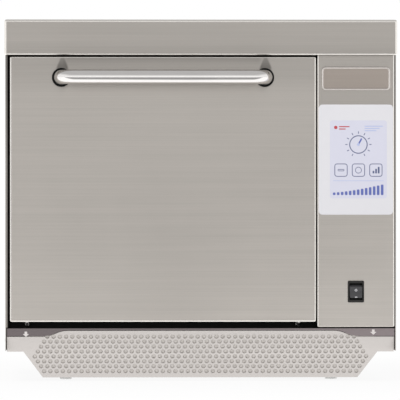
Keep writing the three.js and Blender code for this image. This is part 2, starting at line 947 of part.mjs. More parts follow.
// A round tube through stations that lie in one level plane, mitred at each of them.
function sweptTube(stations, radius, sides) {
  const positions = [];
  const count = stations.length;
  const up = new THREE.Vector3(0, 0, 1);
  stations.forEach((station, i) => {
    const before = stations[Math.max(i - 1, 0)];
    const after = stations[Math.min(i + 1, count - 1)];
    const along = after.clone().sub(before).normalize();
    const outward = along.clone().cross(up);
    for (let k = 0; k < sides; k += 1) {
      const angle = (2 * Math.PI * k) / sides;
      const point = station.clone();
      point.addScaledVector(outward, radius * Math.cos(angle));
      point.addScaledVector(up, radius * Math.sin(angle));
      positions.push(point.x, point.y, point.z);
    }
  });
  const index = [];
  for (let i = 0; i < count - 1; i += 1) {
    for (let k = 0; k < sides; k += 1) {
      const a = i * sides + k;
      const b = i * sides + ((k + 1) % sides);
      index.push(a, b, a + sides, b, b + sides, a + sides);
    }
  }
  for (let k = 1; k < sides - 1; k += 1) {
    const last = (count - 1) * sides;
    index.push(0, k + 1, k, last, last + k, last + k + 1);
  }
  const tube = new THREE.BufferGeometry();
  tube.setAttribute('position', new THREE.Float32BufferAttribute(positions, 3));
  tube.setIndex(index);
  const body = solid(tube);
  return body.volume() > 0 ? body : solid(flipped(tube));
}

function hingePlaces() {
  return [doorLeft + hingeInset, doorRight - hingeInset];
}

// Half the width of a hinge, from its middle to the outside of a cheek.
function hingeHalf() {
  return earThickness / 2 + cheekGap + cheekThickness;
}

function hinges() {
  hingePlaces().forEach((x, i) => {
    const side = ['left', 'right'][i];
    hingeBracket(`hinge_bracket_${side}`, x);
    hingeCarrier(`door_hinge_carrier_${side}`, x);
    const pin = bar('x', pinRadius, about(x, 2 * hingeHalf()), [pivotY, pivotZ], smallSides);
    part(`door_hinge_pin_${side}`, pin, polishedSteel());
  });
}

function hingeBracket(name, x) {
  const backFace = linerFront + frameSheet;
  const flange = slab(
    about(x, hingeFlangeWidth),
    [linerFront, backFace],
    about(pivotZ, hingeFlangeHeight),
  );
  const ear = join(
    slab(about(x, earThickness), [pivotY, backFace], about(pivotZ, 2 * earRadius)),
    bar('x', earRadius, about(x, earThickness), [pivotY, pivotZ], smallSides),
  );
  const holeRadius = (pinRadius + runningGap) / Math.cos(Math.PI / smallSides);
  const hole = bar('x', holeRadius, about(x, earThickness + 2 * overrun), [pivotY, pivotZ], smallSides);
  part(name, cut(join(flange, ear), hole), sheetSteel());
}

// A channel behind the door skin, whose two cheeks hold the pin.
function hingeCarrier(name, x) {
  const front = casingSheet + seatGap;
  const half = hingeHalf();
  const z = [doorBottom, doorBottom + carrierHeight];
  const block = slab([x - half, x + half], [front, front + carrierDepth], z);
  const slot = slab(
    about(x, earThickness + 2 * cheekGap),
    [front + casingSheet, front + carrierDepth + overrun],
    [z[0] - overrun, z[1] - cheekThickness],
  );
  const holeRadius = (pinRadius + seatGap) / Math.cos(Math.PI / smallSides);
  const hole = bar('x', holeRadius, about(x, 2 * half + 2 * overrun), [pivotY, pivotZ], smallSides);
  part(name, cut(block, slot, hole), sheetSteel());
}

function tonguePlaces() {
  return [doorTop - upperTongueDrop, doorTop - lowerTongueDrop];
}

function tongueX() {
  return doorRight - tongueInset;
}

function interlocks() {
  tonguePlaces().forEach((z, i) => {
    const level = ['upper', 'lower'][i];
    const tongue = slab(
      about(tongueX(), tongueThickness),
      [doorDepth + seatGap, doorDepth + tongueReach],
      about(z, tongueHeight),
    );
    part(`interlock_tongue_${level}`, tongue, sheetSteel());
    const top = z - tongueHeight / 2 - hingeSlotClearance;
    const body = slab(
      about(tongueX(), switchWidth),
      [linerFront, linerFront + switchLength],
      [top - switchDepth, top],
    );
    part(`interlock_switch_${level}`, body, blackPlastic());
  });
}

function controlPanel() {
  const outside = pressed(
    rectangle([panelLeft, panelRight], [panelBottom, panelTop]),
    [0, frameFront - seatGap],
    foldRadius,
  );
  const inside = slab(
    [panelLeft + casingSheet, panelRight - casingSheet],
    [casingSheet, frameFront + overrun],
    [panelBottom + casingSheet, panelTop - casingSheet],
  );
  const through = [-overrun, casingSheet + overrun];
  const window = slab(
    [panelLeft + displayMargin, panelRight - displayMargin],
    through,
    about(overlayZ, displayHeight),
  );
  const opening = slab(
    about(panelX, bezelWidth - bezelSideWall),
    through,
    about(switchZ, bezelHeight - bezelWall),
  );
  part('control_panel', cut(outside, inside, window, opening), brushedSteel());
}

function touchOverlay() {
  const outline = rectangle(
    about(panelX, overlayWidth),
    [overlayTop - overlayHeight, overlayTop],
    overlayCorner,
  );
  const sheet = facing(outline, [-seatGap - overlayThickness, -seatGap]);
  part('touch_overlay', sheet, whitePlastic());
}

function displayAndBoard() {
  const front = casingSheet + seatGap;
  const module = slab(
    [panelLeft + displayMargin + seatGap, panelRight - displayMargin - seatGap],
    [seatGap, front + displayDepth],
    about(overlayZ, displayHeight - 2 * seatGap),
  );
  part('display_module', module, blackPlastic());
  const boardFront = front + displayDepth + boardGap;
  const width = panelWidth - 2 * displayMargin;
  const board = slab(
    about(panelX, width),
    [boardFront, boardFront + boardThickness],
    about(overlayZ, boardHeight),
  );
  const postX = width / 2 - displayMargin;
  const postZ = displayHeight / 2 - displayMargin;
  const posts = [-1, 1].flatMap((sideX) => [-1, 1].map((sideZ) => bar(
    'y',
    boardPostRadius,
    [front + displayDepth + seatGap, boardFront + boardThickness / 2],
    [panelX + sideX * postX, overlayZ + sideZ * postZ],
    rodSides,
  )));
  const back = boardFront + boardThickness / 2;
  const chipPlaces = [[-1, -1, 1], [1, -1, 2], [-1, 1, 2], [1, 1, 1]];
  const chips = chipPlaces.map(([sideX, sideZ, size]) => slab(
    about(panelX + sideX * width / 4, width / 8 * size),
    [back, back + chipHeight * size],
    about(overlayZ + sideZ * boardHeight / 4, width / 4),
  ));
  part('control_board', join(board, ...posts, ...chips), circuitGreen());
}

function badge() {
  const z = hoodBottom - badgeDrop;
  const outline = rectangle(about(panelX, badgeWidth), about(z, badgeHeight), badgeCorner);
  const plate = pressed(outline, [-seatGap - badgeThickness, -seatGap], badgeDome);
  part('badge_plate', plate, polishedSteel());
}

// A rocker in its bezel: the face is a shallow V, and its top end slopes back into the pocket.
function rockerSwitch() {
  const flange = pressed(
    rectangle(about(panelX, bezelWidth), about(switchZ, bezelHeight), bezelCorner),
    [-bezelThickness - seatGap, -seatGap],
    bezelThickness / 2,
  );
  const bodyWidth = bezelWidth - bezelSideWall - 2 * seatGap;
  const bodyHeight = bezelHeight - bezelWall - 2 * seatGap;
  const body = slab(
    about(panelX, bodyWidth),
    [-bezelThickness, bezelBodyDepth],
    about(switchZ, bodyHeight),
  );
  const pocketWidth = bezelWidth - 2 * bezelSideWall;
  const pocketHeight = bezelHeight - 2 * bezelWall;
  const pocketBack = rockerPivotDepth + rockerDepth + overrun;
  const pocket = slab(
    about(panelX, pocketWidth),
    [-bezelThickness - overrun, pocketBack],
    about(switchZ, pocketHeight),
  );
  part('switch_bezel', cut(join(flange, body), pocket), blackPlastic());
  const half = pocketHeight / 2 - rockerEndGap;
  const tilt = THREE.MathUtils.degToRad(rockerTiltDegrees);
  const front = -rockerPivotDepth - bezelThickness - rockerFace;
  const lean = Math.tan(tilt);
  const crest = front - rockerCrest * lean;
  const outline = outlineOf([
    [front - half * lean, -half],
    [front, 0],
    [crest, rockerCrest],
    [crest + rockerSlope, rockerCrest + rockerSlope],
    [rockerDepth / 2, half / 2],
    [rockerDepth / 2, -half / 2],
  ]);
  const rocker = across(outline, about(0, pocketWidth - 2 * rockerGap));
  const mesh = part('switch_rocker', rocker, blackPlastic());
  mesh.position.set(panelX, rockerPivotDepth, switchZ);
  mesh.rotation.x = -tilt;
}

function cavityLiner() {
  const wall = frameSheet;
  const shell = slab(
    [cavityLeft - wall, cavityRight + wall],
    [linerFront, linerBack],
    [cavityFloor - wall, cavityTop + wall],
  );
  const flange = slab(
    [cavityLeft - linerFlange, cavityRight + linerFlange],
    [linerFront, linerFront + wall],
    [cavityFloor - linerFlange, cavityTop + linerFlange],
  );
  const well = slab(
    about(cavityX, wellSize + 2 * wall),
    about(cavityY, wellSize + 2 * wall),
    [wellBottom - wall, cavityFloor],
  );
  const inside = slab(
    [cavityLeft, cavityRight],
    [linerFront - overrun, linerInsideBack],
    [cavityFloor, cavityTop],
  );
  const wellInside = slab(
    about(cavityX, wellSize),
    about(cavityY, wellSize),
    [wellBottom, cavityFloor + overrun],
  );
  const wellHole = [wellBottom - 2 * wall, wellBottom + wall];
  const aperture = bar('z', guideApertureRadius, wellHole, [cavityX, cavityY]);
  const behind = [linerInsideBack - overrun, linerBack + overrun];
  const shaft = bar('y', shaftRadius + 2 * seatGap, behind, [cavityX, fanZ], smallSides);
  const exhaust = bar('y', exhaustRadius - exhaustWall, behind, [exhaustX, exhaustZ]);
  const terminals = terminalPlaces().map(([x, z]) => (
    bar('y', heaterRodRadius + seatGap, behind, [x, z], smallSides)
  ));
  const walls = cut(join(shell, flange, well), inside, wellInside);
  const body = cut(walls, aperture, shaft, exhaust, ...terminals);
  part('cavity_liner', body, sheetSteel());
}

function insulationWrap() {
  const front = linerFront + frameSheet + seatGap;
  const wrap = (grow, y) => slab(
    [cavityLeft - grow, cavityRight + grow],
    y,
    [cavityFloor - grow, cavityTop + grow],
  );
  const well = slab(
    about(cavityX, wellSize + 2 * padInside),
    about(cavityY, wellSize + 2 * padInside),
    [cavityFloor - padOutside - overrun, cavityFloor],
  );
  const behind = [linerInsideBack, insulationBack + overrun];
  const shaft = bar('y', motorEndRadius, behind, [cavityX, fanZ], smallSides);
  const exhaust = bar('y', exhaustRadius + seatGap, behind, [exhaustX, exhaustZ]);
  const terminals = terminalPlaces().map(([x, z]) => (
    bar('y', heaterRodRadius + 2 * seatGap, behind, [x, z], smallSides)
  ));
  const outside = wrap(padOutside, [front, insulationBack]);
  const inside = wrap(padInside, [front - overrun, linerInsideBack + padInside]);
  part('insulation_wrap', cut(outside, inside, well, shaft, exhaust, ...terminals), glassWool());
}

function baffle() {
  const gap = baffleClearance;
  const y = [baffleY, baffleY + frameSheet];
  const plate = slab([cavityLeft + gap, cavityRight - gap], y, [cavityFloor + gap, cavityTop - gap]);
  const through = [y[0] - overrun, y[1] + overrun];
  const holes = [];
  for (let row = -baffleRings; row <= baffleRings; row += 1) {
    const inRow = 2 * baffleRings + 1 - Math.abs(row);
    for (let i = 0; i < inRow; i += 1) {
      const x = cavityX + (i - (inRow - 1) / 2) * baffleHolePitch;
      const z = fanZ + row * baffleHolePitch * Math.cos(Math.PI / 6);
      holes.push(bar('y', baffleHoleRadius, through, [x, z], rodSides));
    }
  }
  const jets = [-1, 1].flatMap((side) => {
    const jetX = cavityX + side * (cavityWidth / 2 - baffleHolePitch);
    return [-1, 0, 1].map((step) => slab(
      about(jetX, baffleHoleRadius),
      through,
      about(fanZ + step * cavityHeight / 4, cavityHeight / 6),
    ));
  });
  part('fan_baffle', cut(plate, ...holes, ...jets), sheetSteel());
}

function convectionFan() {
  const front = baffleY + frameSheet + fanBaffleGap;
  const discBack = front + fanBladeDepth + fanDiscThickness;
  const disc = bar('y', fanRadius, [discBack - fanDiscThickness, discBack], [0, 0]);
  const hubFront = discBack - fanDiscThickness - fanHubRadius;
  const hub = bar('y', fanHubRadius, [hubFront, discBack], [0, 0], smallSides);
  const shaftEnd = bulkheadBack + motorLength / 2;
  const shaft = bar('y', shaftRadius, [discBack - fanDiscThickness, shaftEnd], [0, 0], smallSides);
  const blades = [];
  for (let i = 0; i < fanBladeCount; i += 1) {
    const blade = new THREE.BoxGeometry(fanBladeLength, fanBladeDepth + fanBladeSink, fanBladeThickness);
    blade.rotateY(THREE.MathUtils.degToRad(fanBladeLeanDegrees));
    blade.translate(fanRadius - fanBladeLength / 2 - fanBladeThickness, 0, 0);
    blade.rotateY((2 * Math.PI * i) / fanBladeCount);
    blade.translate(0, front + (fanBladeDepth + fanBladeSink) / 2, 0);
    blades.push(solid(blade));
  }
  const fan = part('convection_fan', join(disc, hub, shaft, ...blades), castAluminium());
  fan.position.set(cavityX, 0, fanZ);
}

function terminalPlaces() {
  return [-1, 1].map((side) => [cavityX + side * heaterTerminalSpread, fanZ - heaterRadius]);
}

function heaterCoil() {
  const y = baffleY + heaterSetback;
  const ring = new THREE.TorusGeometry(heaterRadius, heaterRodRadius, rodSides, roundSides);
  ring.rotateX(Math.PI / 2).translate(cavityX, y, fanZ);
  const terminals = terminalPlaces().map(([x, z]) => (
    bar('y', heaterRodRadius, [y, insulationBack - seatGap], [x, z], rodSides)
  ));
  part('heater_coil', join(solid(ring), ...terminals), finish(0x5a5450, 0.5, 1));
}

function bulkhead() {
  const plate = slab(
    [cavityLeft - padOutside, cavityRight + padOutside],
    [bulkheadFront, bulkheadBack],
    [baseTop + seatGap, caseTop - bulkheadTopInset],
  );
  const through = [bulkheadFront - overrun, bulkheadBack + overrun];
  const shaft = bar('y', shaftRadius + 2 * seatGap, through, [cavityX, fanZ], smallSides);
  const exhaust = bar('y', exhaustRadius + seatGap, through, [exhaustX, exhaustZ]);
  part('motor_bulkhead', cut(plate, shaft, exhaust), sheetSteel());
}

function fanMotor() {
  const front = bulkheadBack + seatGap;
  const back = front + motorLength;
  const can = turned('y', [
    [0, front],
    [motorRadius, front],
    [motorRadius, back],
    [motorEndRadius, back],
    [motorEndRadius, back + motorEndLength],
    [0, back + motorEndLength],
  ], [cavityX, fanZ]);
  const reach = bulkheadBack + motorLength / 2 + seatGap;
  const bore = bar('y', shaftRadius + seatGap, [front - overrun, reach], [cavityX, fanZ], smallSides);
  part('fan_motor', cut(can, bore), finish(0x6d7074, 0.55, 1));
}

function stirrerParts() {
  const radius = wellSize / 2 - stirrerClearance;
  const blades = [];
  for (let i = 0; i < stirrerBladeCount; i += 1) {
    const blade = new THREE.BoxGeometry(radius, stirrerBladeWidth, stirrerBladeThickness);
    blade.rotateX(THREE.MathUtils.degToRad(stirrerTiltDegrees));
    blade.translate(radius / 2, 0, 0);
    blade.rotateZ((2 * Math.PI * i) / stirrerBladeCount);
    blades.push(solid(blade));
  }
  const hub = bar('z', stirrerHubRadius, about(0, stirrerHubLength), [0, 0], smallSides);
  const shaftEnd = guideBottom - stirrerMotorLength / 2 - stirrerZ;
  const shaft = bar('z', shaftRadius, [shaftEnd, 0], [0, 0], smallSides);
  const stirrer = part('stirrer', join(hub, shaft, ...blades), castAluminium());
  stirrer.position.set(cavityX, cavityY, stirrerZ);
  const motorTop = guideBottom - seatGap;
  const motor = cut(
    bar('z', stirrerMotorRadius, [motorTop - stirrerMotorLength, motorTop], [cavityX, cavityY]),
    bar('z', shaftRadius + seatGap, [
      guideBottom - stirrerMotorLength / 2 - seatGap,
      motorTop + overrun,
    ], [cavityX, cavityY], smallSides),
  );
  part('stirrer_motor', motor, greyPlastic());
  const coverSize = wellSize + 2 * wellCoverMargin;
  const cover = slab(
    about(cavityX, coverSize),
    about(cavityY, coverSize),
    [cavityFloor + seatGap, cavityFloor + seatGap + wellCoverThickness],
  );
  part('stirrer_cover', cover, ceramic());
}

function waveguide() {
  const wall = frameSheet;
  const left = cavityX - guideStub;
  const right = magnetronX + guideStub;
  const outside = slab([left, right], about(cavityY, guideWidth + 2 * wall), [guideBottom, guideTop]);
  const inside = slab(
    [left + wall, right - wall],
    about(cavityY, guideWidth),
    [guideBottom + wall, guideTop - wall],
  );
  const top = [guideTop - 2 * wall, guideTop + overrun];
  const aperture = bar('z', guideApertureRadius, top, [cavityX, cavityY]);
  const antenna = bar('z', antennaRadius + antennaClearance, top, [magnetronX, cavityY], smallSides);
  const shaft = bar('z', shaftRadius + 2 * seatGap, [guideBottom - overrun, guideBottom + 2 * wall], [
    cavityX,
    cavityY,
  ], smallSides);
  part('waveguide', cut(outside, inside, aperture, antenna, shaft), castAluminium());
}

// A yoke of bent plate round a finned core, with the antenna below and the terminal cap above.
function magnetron() {
  const bottom = guideTop + seatGap;
  const top = bottom + magnetronHeight;
  const x = about(magnetronX, magnetronWidth);
  const y = about(cavityY, magnetronDepth);
  const yoke = cut(
    slab(x, y, [bottom, top]),
    slab([x[0] + magnetronYoke, x[1] - magnetronYoke], [y[0] - overrun, y[1] + overrun], [
      bottom + magnetronYoke,
      top - magnetronYoke,
    ]),
  );
  const core = bar('z', magnetronCoreRadius, [bottom + magnetronYoke / 2, top - magnetronYoke / 2], [
    magnetronX,
    cavityY,
  ]);
  const fins = [];
  const finPitch = magnetronHeight / (magnetronFinCount + 3);
  for (let i = 0; i < magnetronFinCount; i += 1) {
    const z = (bottom + top) / 2 + (i - (magnetronFinCount - 1) / 2) * finPitch;
    fins.push(slab(
      [x[0] + magnetronYoke / 2, x[1] - magnetronYoke / 2],
      [y[0] + magnetronYoke, y[1] - magnetronYoke],
      about(z, magnetronFinThickness),
    ));
  }
  const cap = slab(
    about(magnetronX, magnetronWidth / 2),
    about(cavityY, magnetronDepth / 2),
    [top - magnetronYoke / 2, top + magnetronCapHeight],
  );
  const antenna = bar('z', antennaRadius, [bottom - antennaLength, bottom + magnetronYoke / 2], [
    magnetronX,
    cavityY,
  ], smallSides);
  part('magnetron', join(yoke, core, ...fins, cap, antenna), castAluminium());
}

function highVoltageParts() {
  const x = caseHalf - casingSheet - transformerInset - coreWidth / 2;
  const y = caseDepth - transformerRearInset;
  const floor = baseTop + seatGap;
  const core = slab(about(x, coreWidth), about(y, coreDepth), [floor, floor + coreHeight]);
  const coil = slab(
    about(x, coreWidth / 2 + coilReach),
    about(y, coreDepth + 2 * coilReach),
    about(floor + coreHeight / 2, coilHeight),
  );
  part('high_voltage_transformer', join(core, coil), sheetSteel());
  const canY = y + coreDepth / 2 + coilReach + capacitorSpace + capacitorDepth / 2;
  const can = facing(
    rectangle(about(x, capacitorWidth), [floor, floor + capacitorHeight]),
    about(canY, capacitorDepth),
  );
  const terminals = [-1, 1].map((side) => bar('z', terminalRadius, [
    floor + capacitorHeight - terminalHeight,
    floor + capacitorHeight + terminalHeight,
  ], [x + side * capacitorWidth / 4, canY], rodSides));
  part('high_voltage_capacitor', join(can, ...terminals), castAluminium());
}

function coolingFan() {
  const back = rearInside - seatGap;
  const front = back - coolerDepth;
  const outline = rectangle(about(coolerX, coolerSize), about(coolerZ, coolerSize), coolerCorner);
  const frame = facing(outline, [front, back], foldSteps);
  const bore = bar('y', coolerBore, [front - overrun, back + overrun], [coolerX, coolerZ]);
  const spiderY = [back - coolerSpiderDepth, back];
  const arms = [0, 1, 2].map((i) => {
    const arm = new THREE.BoxGeometry(coolerBore + overrun, coolerSpiderDepth, coolerSpiderWidth);
    arm.translate((coolerBore + overrun) / 2, 0, 0).rotateY((2 * Math.PI * i) / 3);
    return solid(arm.translate(coolerX, back - coolerSpiderDepth / 2, coolerZ));
  });
  const hub = bar('y', coolerHubRadius, spiderY, [coolerX, coolerZ]);
  const holeRadius = shaftRadius / 2 + seatGap;
  const hole = bar('y', holeRadius, [front, back + overrun], [coolerX, coolerZ], smallSides);
  const housing = cut(join(cut(frame, bore), ...arms, hub), hole);
  part('cooling_fan_housing', housing, blackPlastic());
  const wheelBack = back - coolerSpiderDepth - coolerBladeGap;
  const wheelFront = wheelBack - coolerBladeDepth;
  const bladeReach = coolerBore - 2 * coolerBladeGap - coolerHubRadius;
  const blades = [];
  for (let i = 0; i < coolerBladeCount; i += 1) {
    const blade = new THREE.BoxGeometry(bladeReach + overrun, coolerBladeThickness, coolerBladeDepth);
    blade.rotateX(THREE.MathUtils.degToRad(coolerBladeTiltDegrees));
    blade.translate(coolerHubRadius + (bladeReach - overrun) / 2, 0, 0);
    blade.rotateY((2 * Math.PI * i) / coolerBladeCount);
    blade.translate(0, (wheelFront + wheelBack) / 2, 0);
    blades.push(solid(blade));
  }
  const wheelHub = bar('y', coolerHubRadius, [wheelFront, wheelBack], [0, 0]);
  const shaft = bar('y', shaftRadius / 2, [wheelBack - overrun, back - seatGap], [0, 0], smallSides);
  const wheel = part('cooling_fan_wheel', join(wheelHub, shaft, ...blades), blackPlastic());
  wheel.position.set(coolerX, 0, coolerZ);
}

function rackSupports() {
  for (const [name, side] of [['rack_support_left', -1], ['rack_support_right', 1]]) {
    const wallX = cavityX + side * cavityWidth / 2;
    const outer = wallX - side * seatGap;
    const inner = outer - side * frameSheet;
    const y = [linerFront + supportClearance, baffleY - supportClearance];
    const foot = cavityFloor + seatGap;
    const sheet = slab(between(outer, inner), y, [foot, foot + supportHeight]);
    const ledges = [];
    for (let i = 0; i < ledgeCount; i += 1) {
      const top = cavityFloor + ledgeRise + i * ledgePitch;
      const tip = inner - side * ledgeDepth;
      ledges.push(slab(between(outer, tip), y, [top - ledgeThickness, top]));
    }
    part(name, join(sheet, ...ledges), sheetSteel());
  }
}

function wireRack() {
  const reach = cavityWidth / 2 - seatGap - frameSheet - rackClearance - rackFrameRadius;
  const frameZ = cavityFloor + ledgeRise + seatGap + rackFrameRadius;
  const y0 = linerFront + supportClearance + rackFrameRadius;
  const y1 = baffleY - supportClearance - rackFrameRadius;
  const sideRod = (x) => bar('y', rackFrameRadius, [y0, y1], [x, frameZ], rodSides);
  const endRod = (y) => bar('x', rackFrameRadius, about(cavityX, 2 * reach), [y, frameZ], rodSides);
  const corner = (x, y) => {
    const ball = new THREE.SphereGeometry(rackFrameRadius, rodSides, rodSides / 2);
    return solid(ball.rotateX(Math.PI / 2).translate(x, y, frameZ));
  };
  const xs = [cavityX - reach, cavityX + reach];
  const corners = xs.flatMap((x) => [y0, y1].map((y) => corner(x, y)));
  const rods = [];
  for (let i = 1; i <= rackRodCount; i += 1) {
    const x = xs[0] + (2 * reach * i) / (rackRodCount + 1);
    rods.push(bar('y', rackRodRadius, [y0, y1], [x, frameZ + rackFrameRadius / 2], rodSides));
  }
  const body = join(...xs.map(sideRod), endRod(y0), endRod(y1), ...corners, ...rods);
  part('wire_rack', body, polishedSteel());
}

function exhaustDuct() {
  const front = linerBack + seatGap;
  const inner = exhaustRadius - exhaustWall;
  const flangeY = caseDepth + seatGap;
  const duct = turned('y', [
    [inner, front],
    [exhaustRadius, front],
    [exhaustRadius, flangeY],
    [exhaustRadius + exhaustFlange, flangeY],
    [exhaustRadius + exhaustFlange, flangeY + casingSheet],
    [exhaustRadius, flangeY + casingSheet],
    [exhaustRadius, caseDepth + exhaustReach],
    [inner, caseDepth + exhaustReach],
    [inner, front],
  ], [exhaustX, exhaustZ]);
  part('exhaust_duct', duct, sheetSteel());
}

function cableGland() {
  const face = caseDepth + seatGap;
  const nutBack = face + glandNutLength;
  const neck = glandHoleRadius - seatGap;
  const nut = turned('y', [
    [glandBoreRadius, face],
    [glandNutRadius, face],
    [glandNutRadius, nutBack],
    [glandBoreRadius, nutBack],
    [glandBoreRadius, face],
  ], [glandX, glandZ], 6);
  const dome = turned('y', [
    [glandBoreRadius, face - glandNeckLength],
    [neck, face - glandNeckLength],
    [neck, face + casingSheet],
    [glandDomeRadius, face + casingSheet],
    [glandDomeRadius, nutBack],
    [(glandDomeRadius + glandBoreRadius) / 2, nutBack + glandDomeLength],
    [glandBoreRadius, nutBack + glandDomeLength],
    [glandBoreRadius, face - glandNeckLength],
  ], [glandX, glandZ], smallSides);
  part('cable_gland', join(nut, dome), blackPlastic());
}

topCover();
sidePanel('left_side_panel', -1, sideHem);
sidePanel('right_side_panel', 1, casingSheet);
rearPanel();
basePan();
feet();
baseStrip();
filterPlate();
filterPad();
intakeDuct();
frontFrame();
doorSkin();
doorInnerPlate();
chokeCover();
doorPad();
doorSeal();
handle();
hinges();
interlocks();
controlPanel();
touchOverlay();
displayAndBoard();
badge();
rockerSwitch();
cavityLiner();
insulationWrap();
baffle();
convectionFan();
heaterCoil();
bulkhead();
fanMotor();
stirrerParts();
waveguide();
magnetron();
highVoltageParts();
coolingFan();
rackSupports();
wireRack();
exhaustDuct();
cableGland();

export default oven;
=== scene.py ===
"""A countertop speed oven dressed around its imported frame: brushed steel case, drop-down door with
a tube handle, control column with touch overlay and rocker switch, perforated air filter, and the
parts inside. Metres; +X is to the right seen from the front, -Y to the front and +Z up."""

import math

import bmesh
import bpy
import numpy as np
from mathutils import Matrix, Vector
from mathutils.geometry import delaunay_2d_cdt


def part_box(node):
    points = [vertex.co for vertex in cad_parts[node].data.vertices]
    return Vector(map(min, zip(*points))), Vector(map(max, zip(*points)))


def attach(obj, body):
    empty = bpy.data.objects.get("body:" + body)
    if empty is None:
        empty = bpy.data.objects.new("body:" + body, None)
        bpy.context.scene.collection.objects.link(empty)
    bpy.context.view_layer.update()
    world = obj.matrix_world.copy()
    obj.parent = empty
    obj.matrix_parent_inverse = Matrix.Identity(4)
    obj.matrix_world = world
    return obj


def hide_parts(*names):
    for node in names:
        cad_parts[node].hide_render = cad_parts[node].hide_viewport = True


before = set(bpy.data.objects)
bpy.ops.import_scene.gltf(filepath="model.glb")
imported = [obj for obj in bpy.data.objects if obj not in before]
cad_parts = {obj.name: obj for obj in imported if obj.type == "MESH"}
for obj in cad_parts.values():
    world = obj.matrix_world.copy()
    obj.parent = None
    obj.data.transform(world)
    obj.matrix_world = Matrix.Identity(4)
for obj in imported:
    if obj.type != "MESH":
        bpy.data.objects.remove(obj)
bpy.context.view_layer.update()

MM = 0.001
TAU = 2 * math.pi


def rgb(red, green, blue):
    """A screen colour, 0 to 255, as the linear colour that shaders take."""
    share = np.array([red, green, blue]) / 255
    linear = np.where(share <= 0.04045, share / 12.92, ((share + 0.055) / 1.055) ** 2.4)
    return (*linear.tolist(), 1.0)


# Materials

# Rubbed bends and rims: smoother, and painted brighter as a highlight
WEAR_AND_HIGHLIGHT = "wear"


class Level:
    """A socket that carries a number or a vector; arithmetic on it adds Math nodes."""

    def __init__(self, finish, socket):
        self.finish = finish
        self.socket = socket

    def maths(self, operation, *values):
        return self.finish.node("ShaderNodeMath", {"operation": operation}, dict(enumerate(values)))

    def __add__(self, other):
        return self.maths("ADD", self, other)

    __radd__ = __add__

    def __mul__(self, other):
        return self.maths("MULTIPLY", self, other)

    __rmul__ = __mul__

    def __sub__(self, other):
        return self.maths("SUBTRACT", self, other)

    def __rsub__(self, other):
        return self.maths("SUBTRACT", other, self)

    def __truediv__(self, other):
        return self.maths("DIVIDE", self, other)

    def __rpow__(self, other):
        return self.maths("POWER", other, self)

    def __abs__(self):
        return self.maths("ABSOLUTE", self)

    def step(self, low, high):
        """0 up to low, 1 from high on, and an S-curve between them."""
        settings = {"interpolation_type": "SMOOTHSTEP"}
        return self.finish.node(
            "ShaderNodeMapRange", settings, {"Value": self, "From Min": low, "From Max": high})

    def parts(self):
        """The X, Y and Z numbers of a vector."""
        split = self.finish.node("ShaderNodeSeparateXYZ", {}, {0: self}).socket.node
        return [Level(self.finish, socket) for socket in split.outputs]


class Finish:
    """A material, or the world, that is built node by node."""

    def __init__(self, name, owner=None, **sockets):
        self.block = owner or bpy.data.materials.new(name)
        self.block.use_nodes = True
        self.tree = self.block.node_tree
        self.tree.nodes.clear()
        if owner is None:
            self.shader = self.tree.nodes.new("ShaderNodeBsdfPrincipled")
            self.end(self.shader.outputs[0])
            for socket, value in sockets.items():
                self.set(socket.replace("_", " "), value)

    def end(self, socket, kind="ShaderNodeOutputMaterial"):
        self.tree.links.new(socket, self.tree.nodes.new(kind).inputs[0])

    def put(self, socket, value):
        if isinstance(value, Level):
            self.tree.links.new(value.socket, socket)
        else:
            socket.default_value = value

    def set(self, name, value):
        self.put(self.shader.inputs[name], value)

    def node(self, kind, settings, inputs, output=0):
        """Adds one node: its settings first, then the values or links of its sockets."""
        node = self.tree.nodes.new(kind)
        for setting, value in settings.items():
            setattr(node, setting, value)
        for socket, value in inputs.items():
            self.put(node.inputs[socket], value)
        return Level(self, node.outputs[output])

    def place(self):
        return self.node("ShaderNodeTexCoord", {}, {}, "Object")

    def worn_and_highlit(self):
        """1 on a piece's bends and rims, where its mesh says so, and 0 on its faces: where they are rubbed
        and a highlight is painted.
        """
        return self.node("ShaderNodeAttribute", {"attribute_name": WEAR_AND_HIGHLIGHT}, {}, "Fac")

    def noise(self, place, scale, detail=2.0, roughness=0.5):
        """Cloudy noise about 0.5, with so many features to the metre on each axis."""
        if not isinstance(scale, tuple):
            scale = (scale, scale, scale)
        where = self.node("ShaderNodeMapping", {}, {"Vector": place, "Scale": scale})
        inputs = {"Vector": where, "Scale": 1.0, "Detail": detail, "Roughness": roughness}
        return self.node("ShaderNodeTexNoise", {}, inputs)

    def blend(self, first, second, factor):
        """A colour between two colours."""
        inputs = {0: factor, 6: first, 7: second}
        return self.node("ShaderNodeMix", {"data_type": "RGBA", "clamp_factor": True}, inputs, 2)

    def varied(self, colour, darker, lighter, factor):
        """One colour, which a factor from 0 to 1 takes from darker to lighter."""
        return self.blend(tinted(colour, darker), tinted(colour, lighter), factor)

    def finished(self, colour, roughness, height, depth):
        """Sets the colour, the roughness and a bump whose height counts as so many millimetres."""
        self.set("Base Color", colour)
        self.set("Roughness", roughness)
        inputs = {"Height": height, "Distance": depth * MM, "Strength": 1.0}
        self.set("Normal", self.node("ShaderNodeBump", {}, inputs))
        return self.block


def tinted(colour, factor):
    """A colour made darker or lighter."""
    return (*[channel * factor for channel in colour[:3]], 1.0)


STEEL = (0.475, 0.445, 0.412, 1.0)
# The colour of rubbed bends, which is a painted highlight
RUBBED_STEEL_HIGHLIGHT = (0.78, 0.75, 0.71, 1.0)
ALONG_GRAIN = 3.0
FINE_GRAIN = 900.0
COARSE_GRAIN = 120.0


def grain_of(finish, place):
    """Fine and coarse brushing lines: noise that is drawn out along X and Y on upright faces, and
    along X and Z on level ones."""
    lying = abs(finish.node("ShaderNodeNewGeometry", {}, {}, "Normal").parts()[2]).step(0.6, 0.8)
    lines = []
    for count, detail in ((FINE_GRAIN, 3.0), (COARSE_GRAIN, 2.0)):
        upright = finish.noise(place, (ALONG_GRAIN, ALONG_GRAIN, count), detail)
        flat = finish.noise(place, (ALONG_GRAIN, count, ALONG_GRAIN), detail)
        lines.append(upright * (1 - lying) + flat * lying)
    return lines


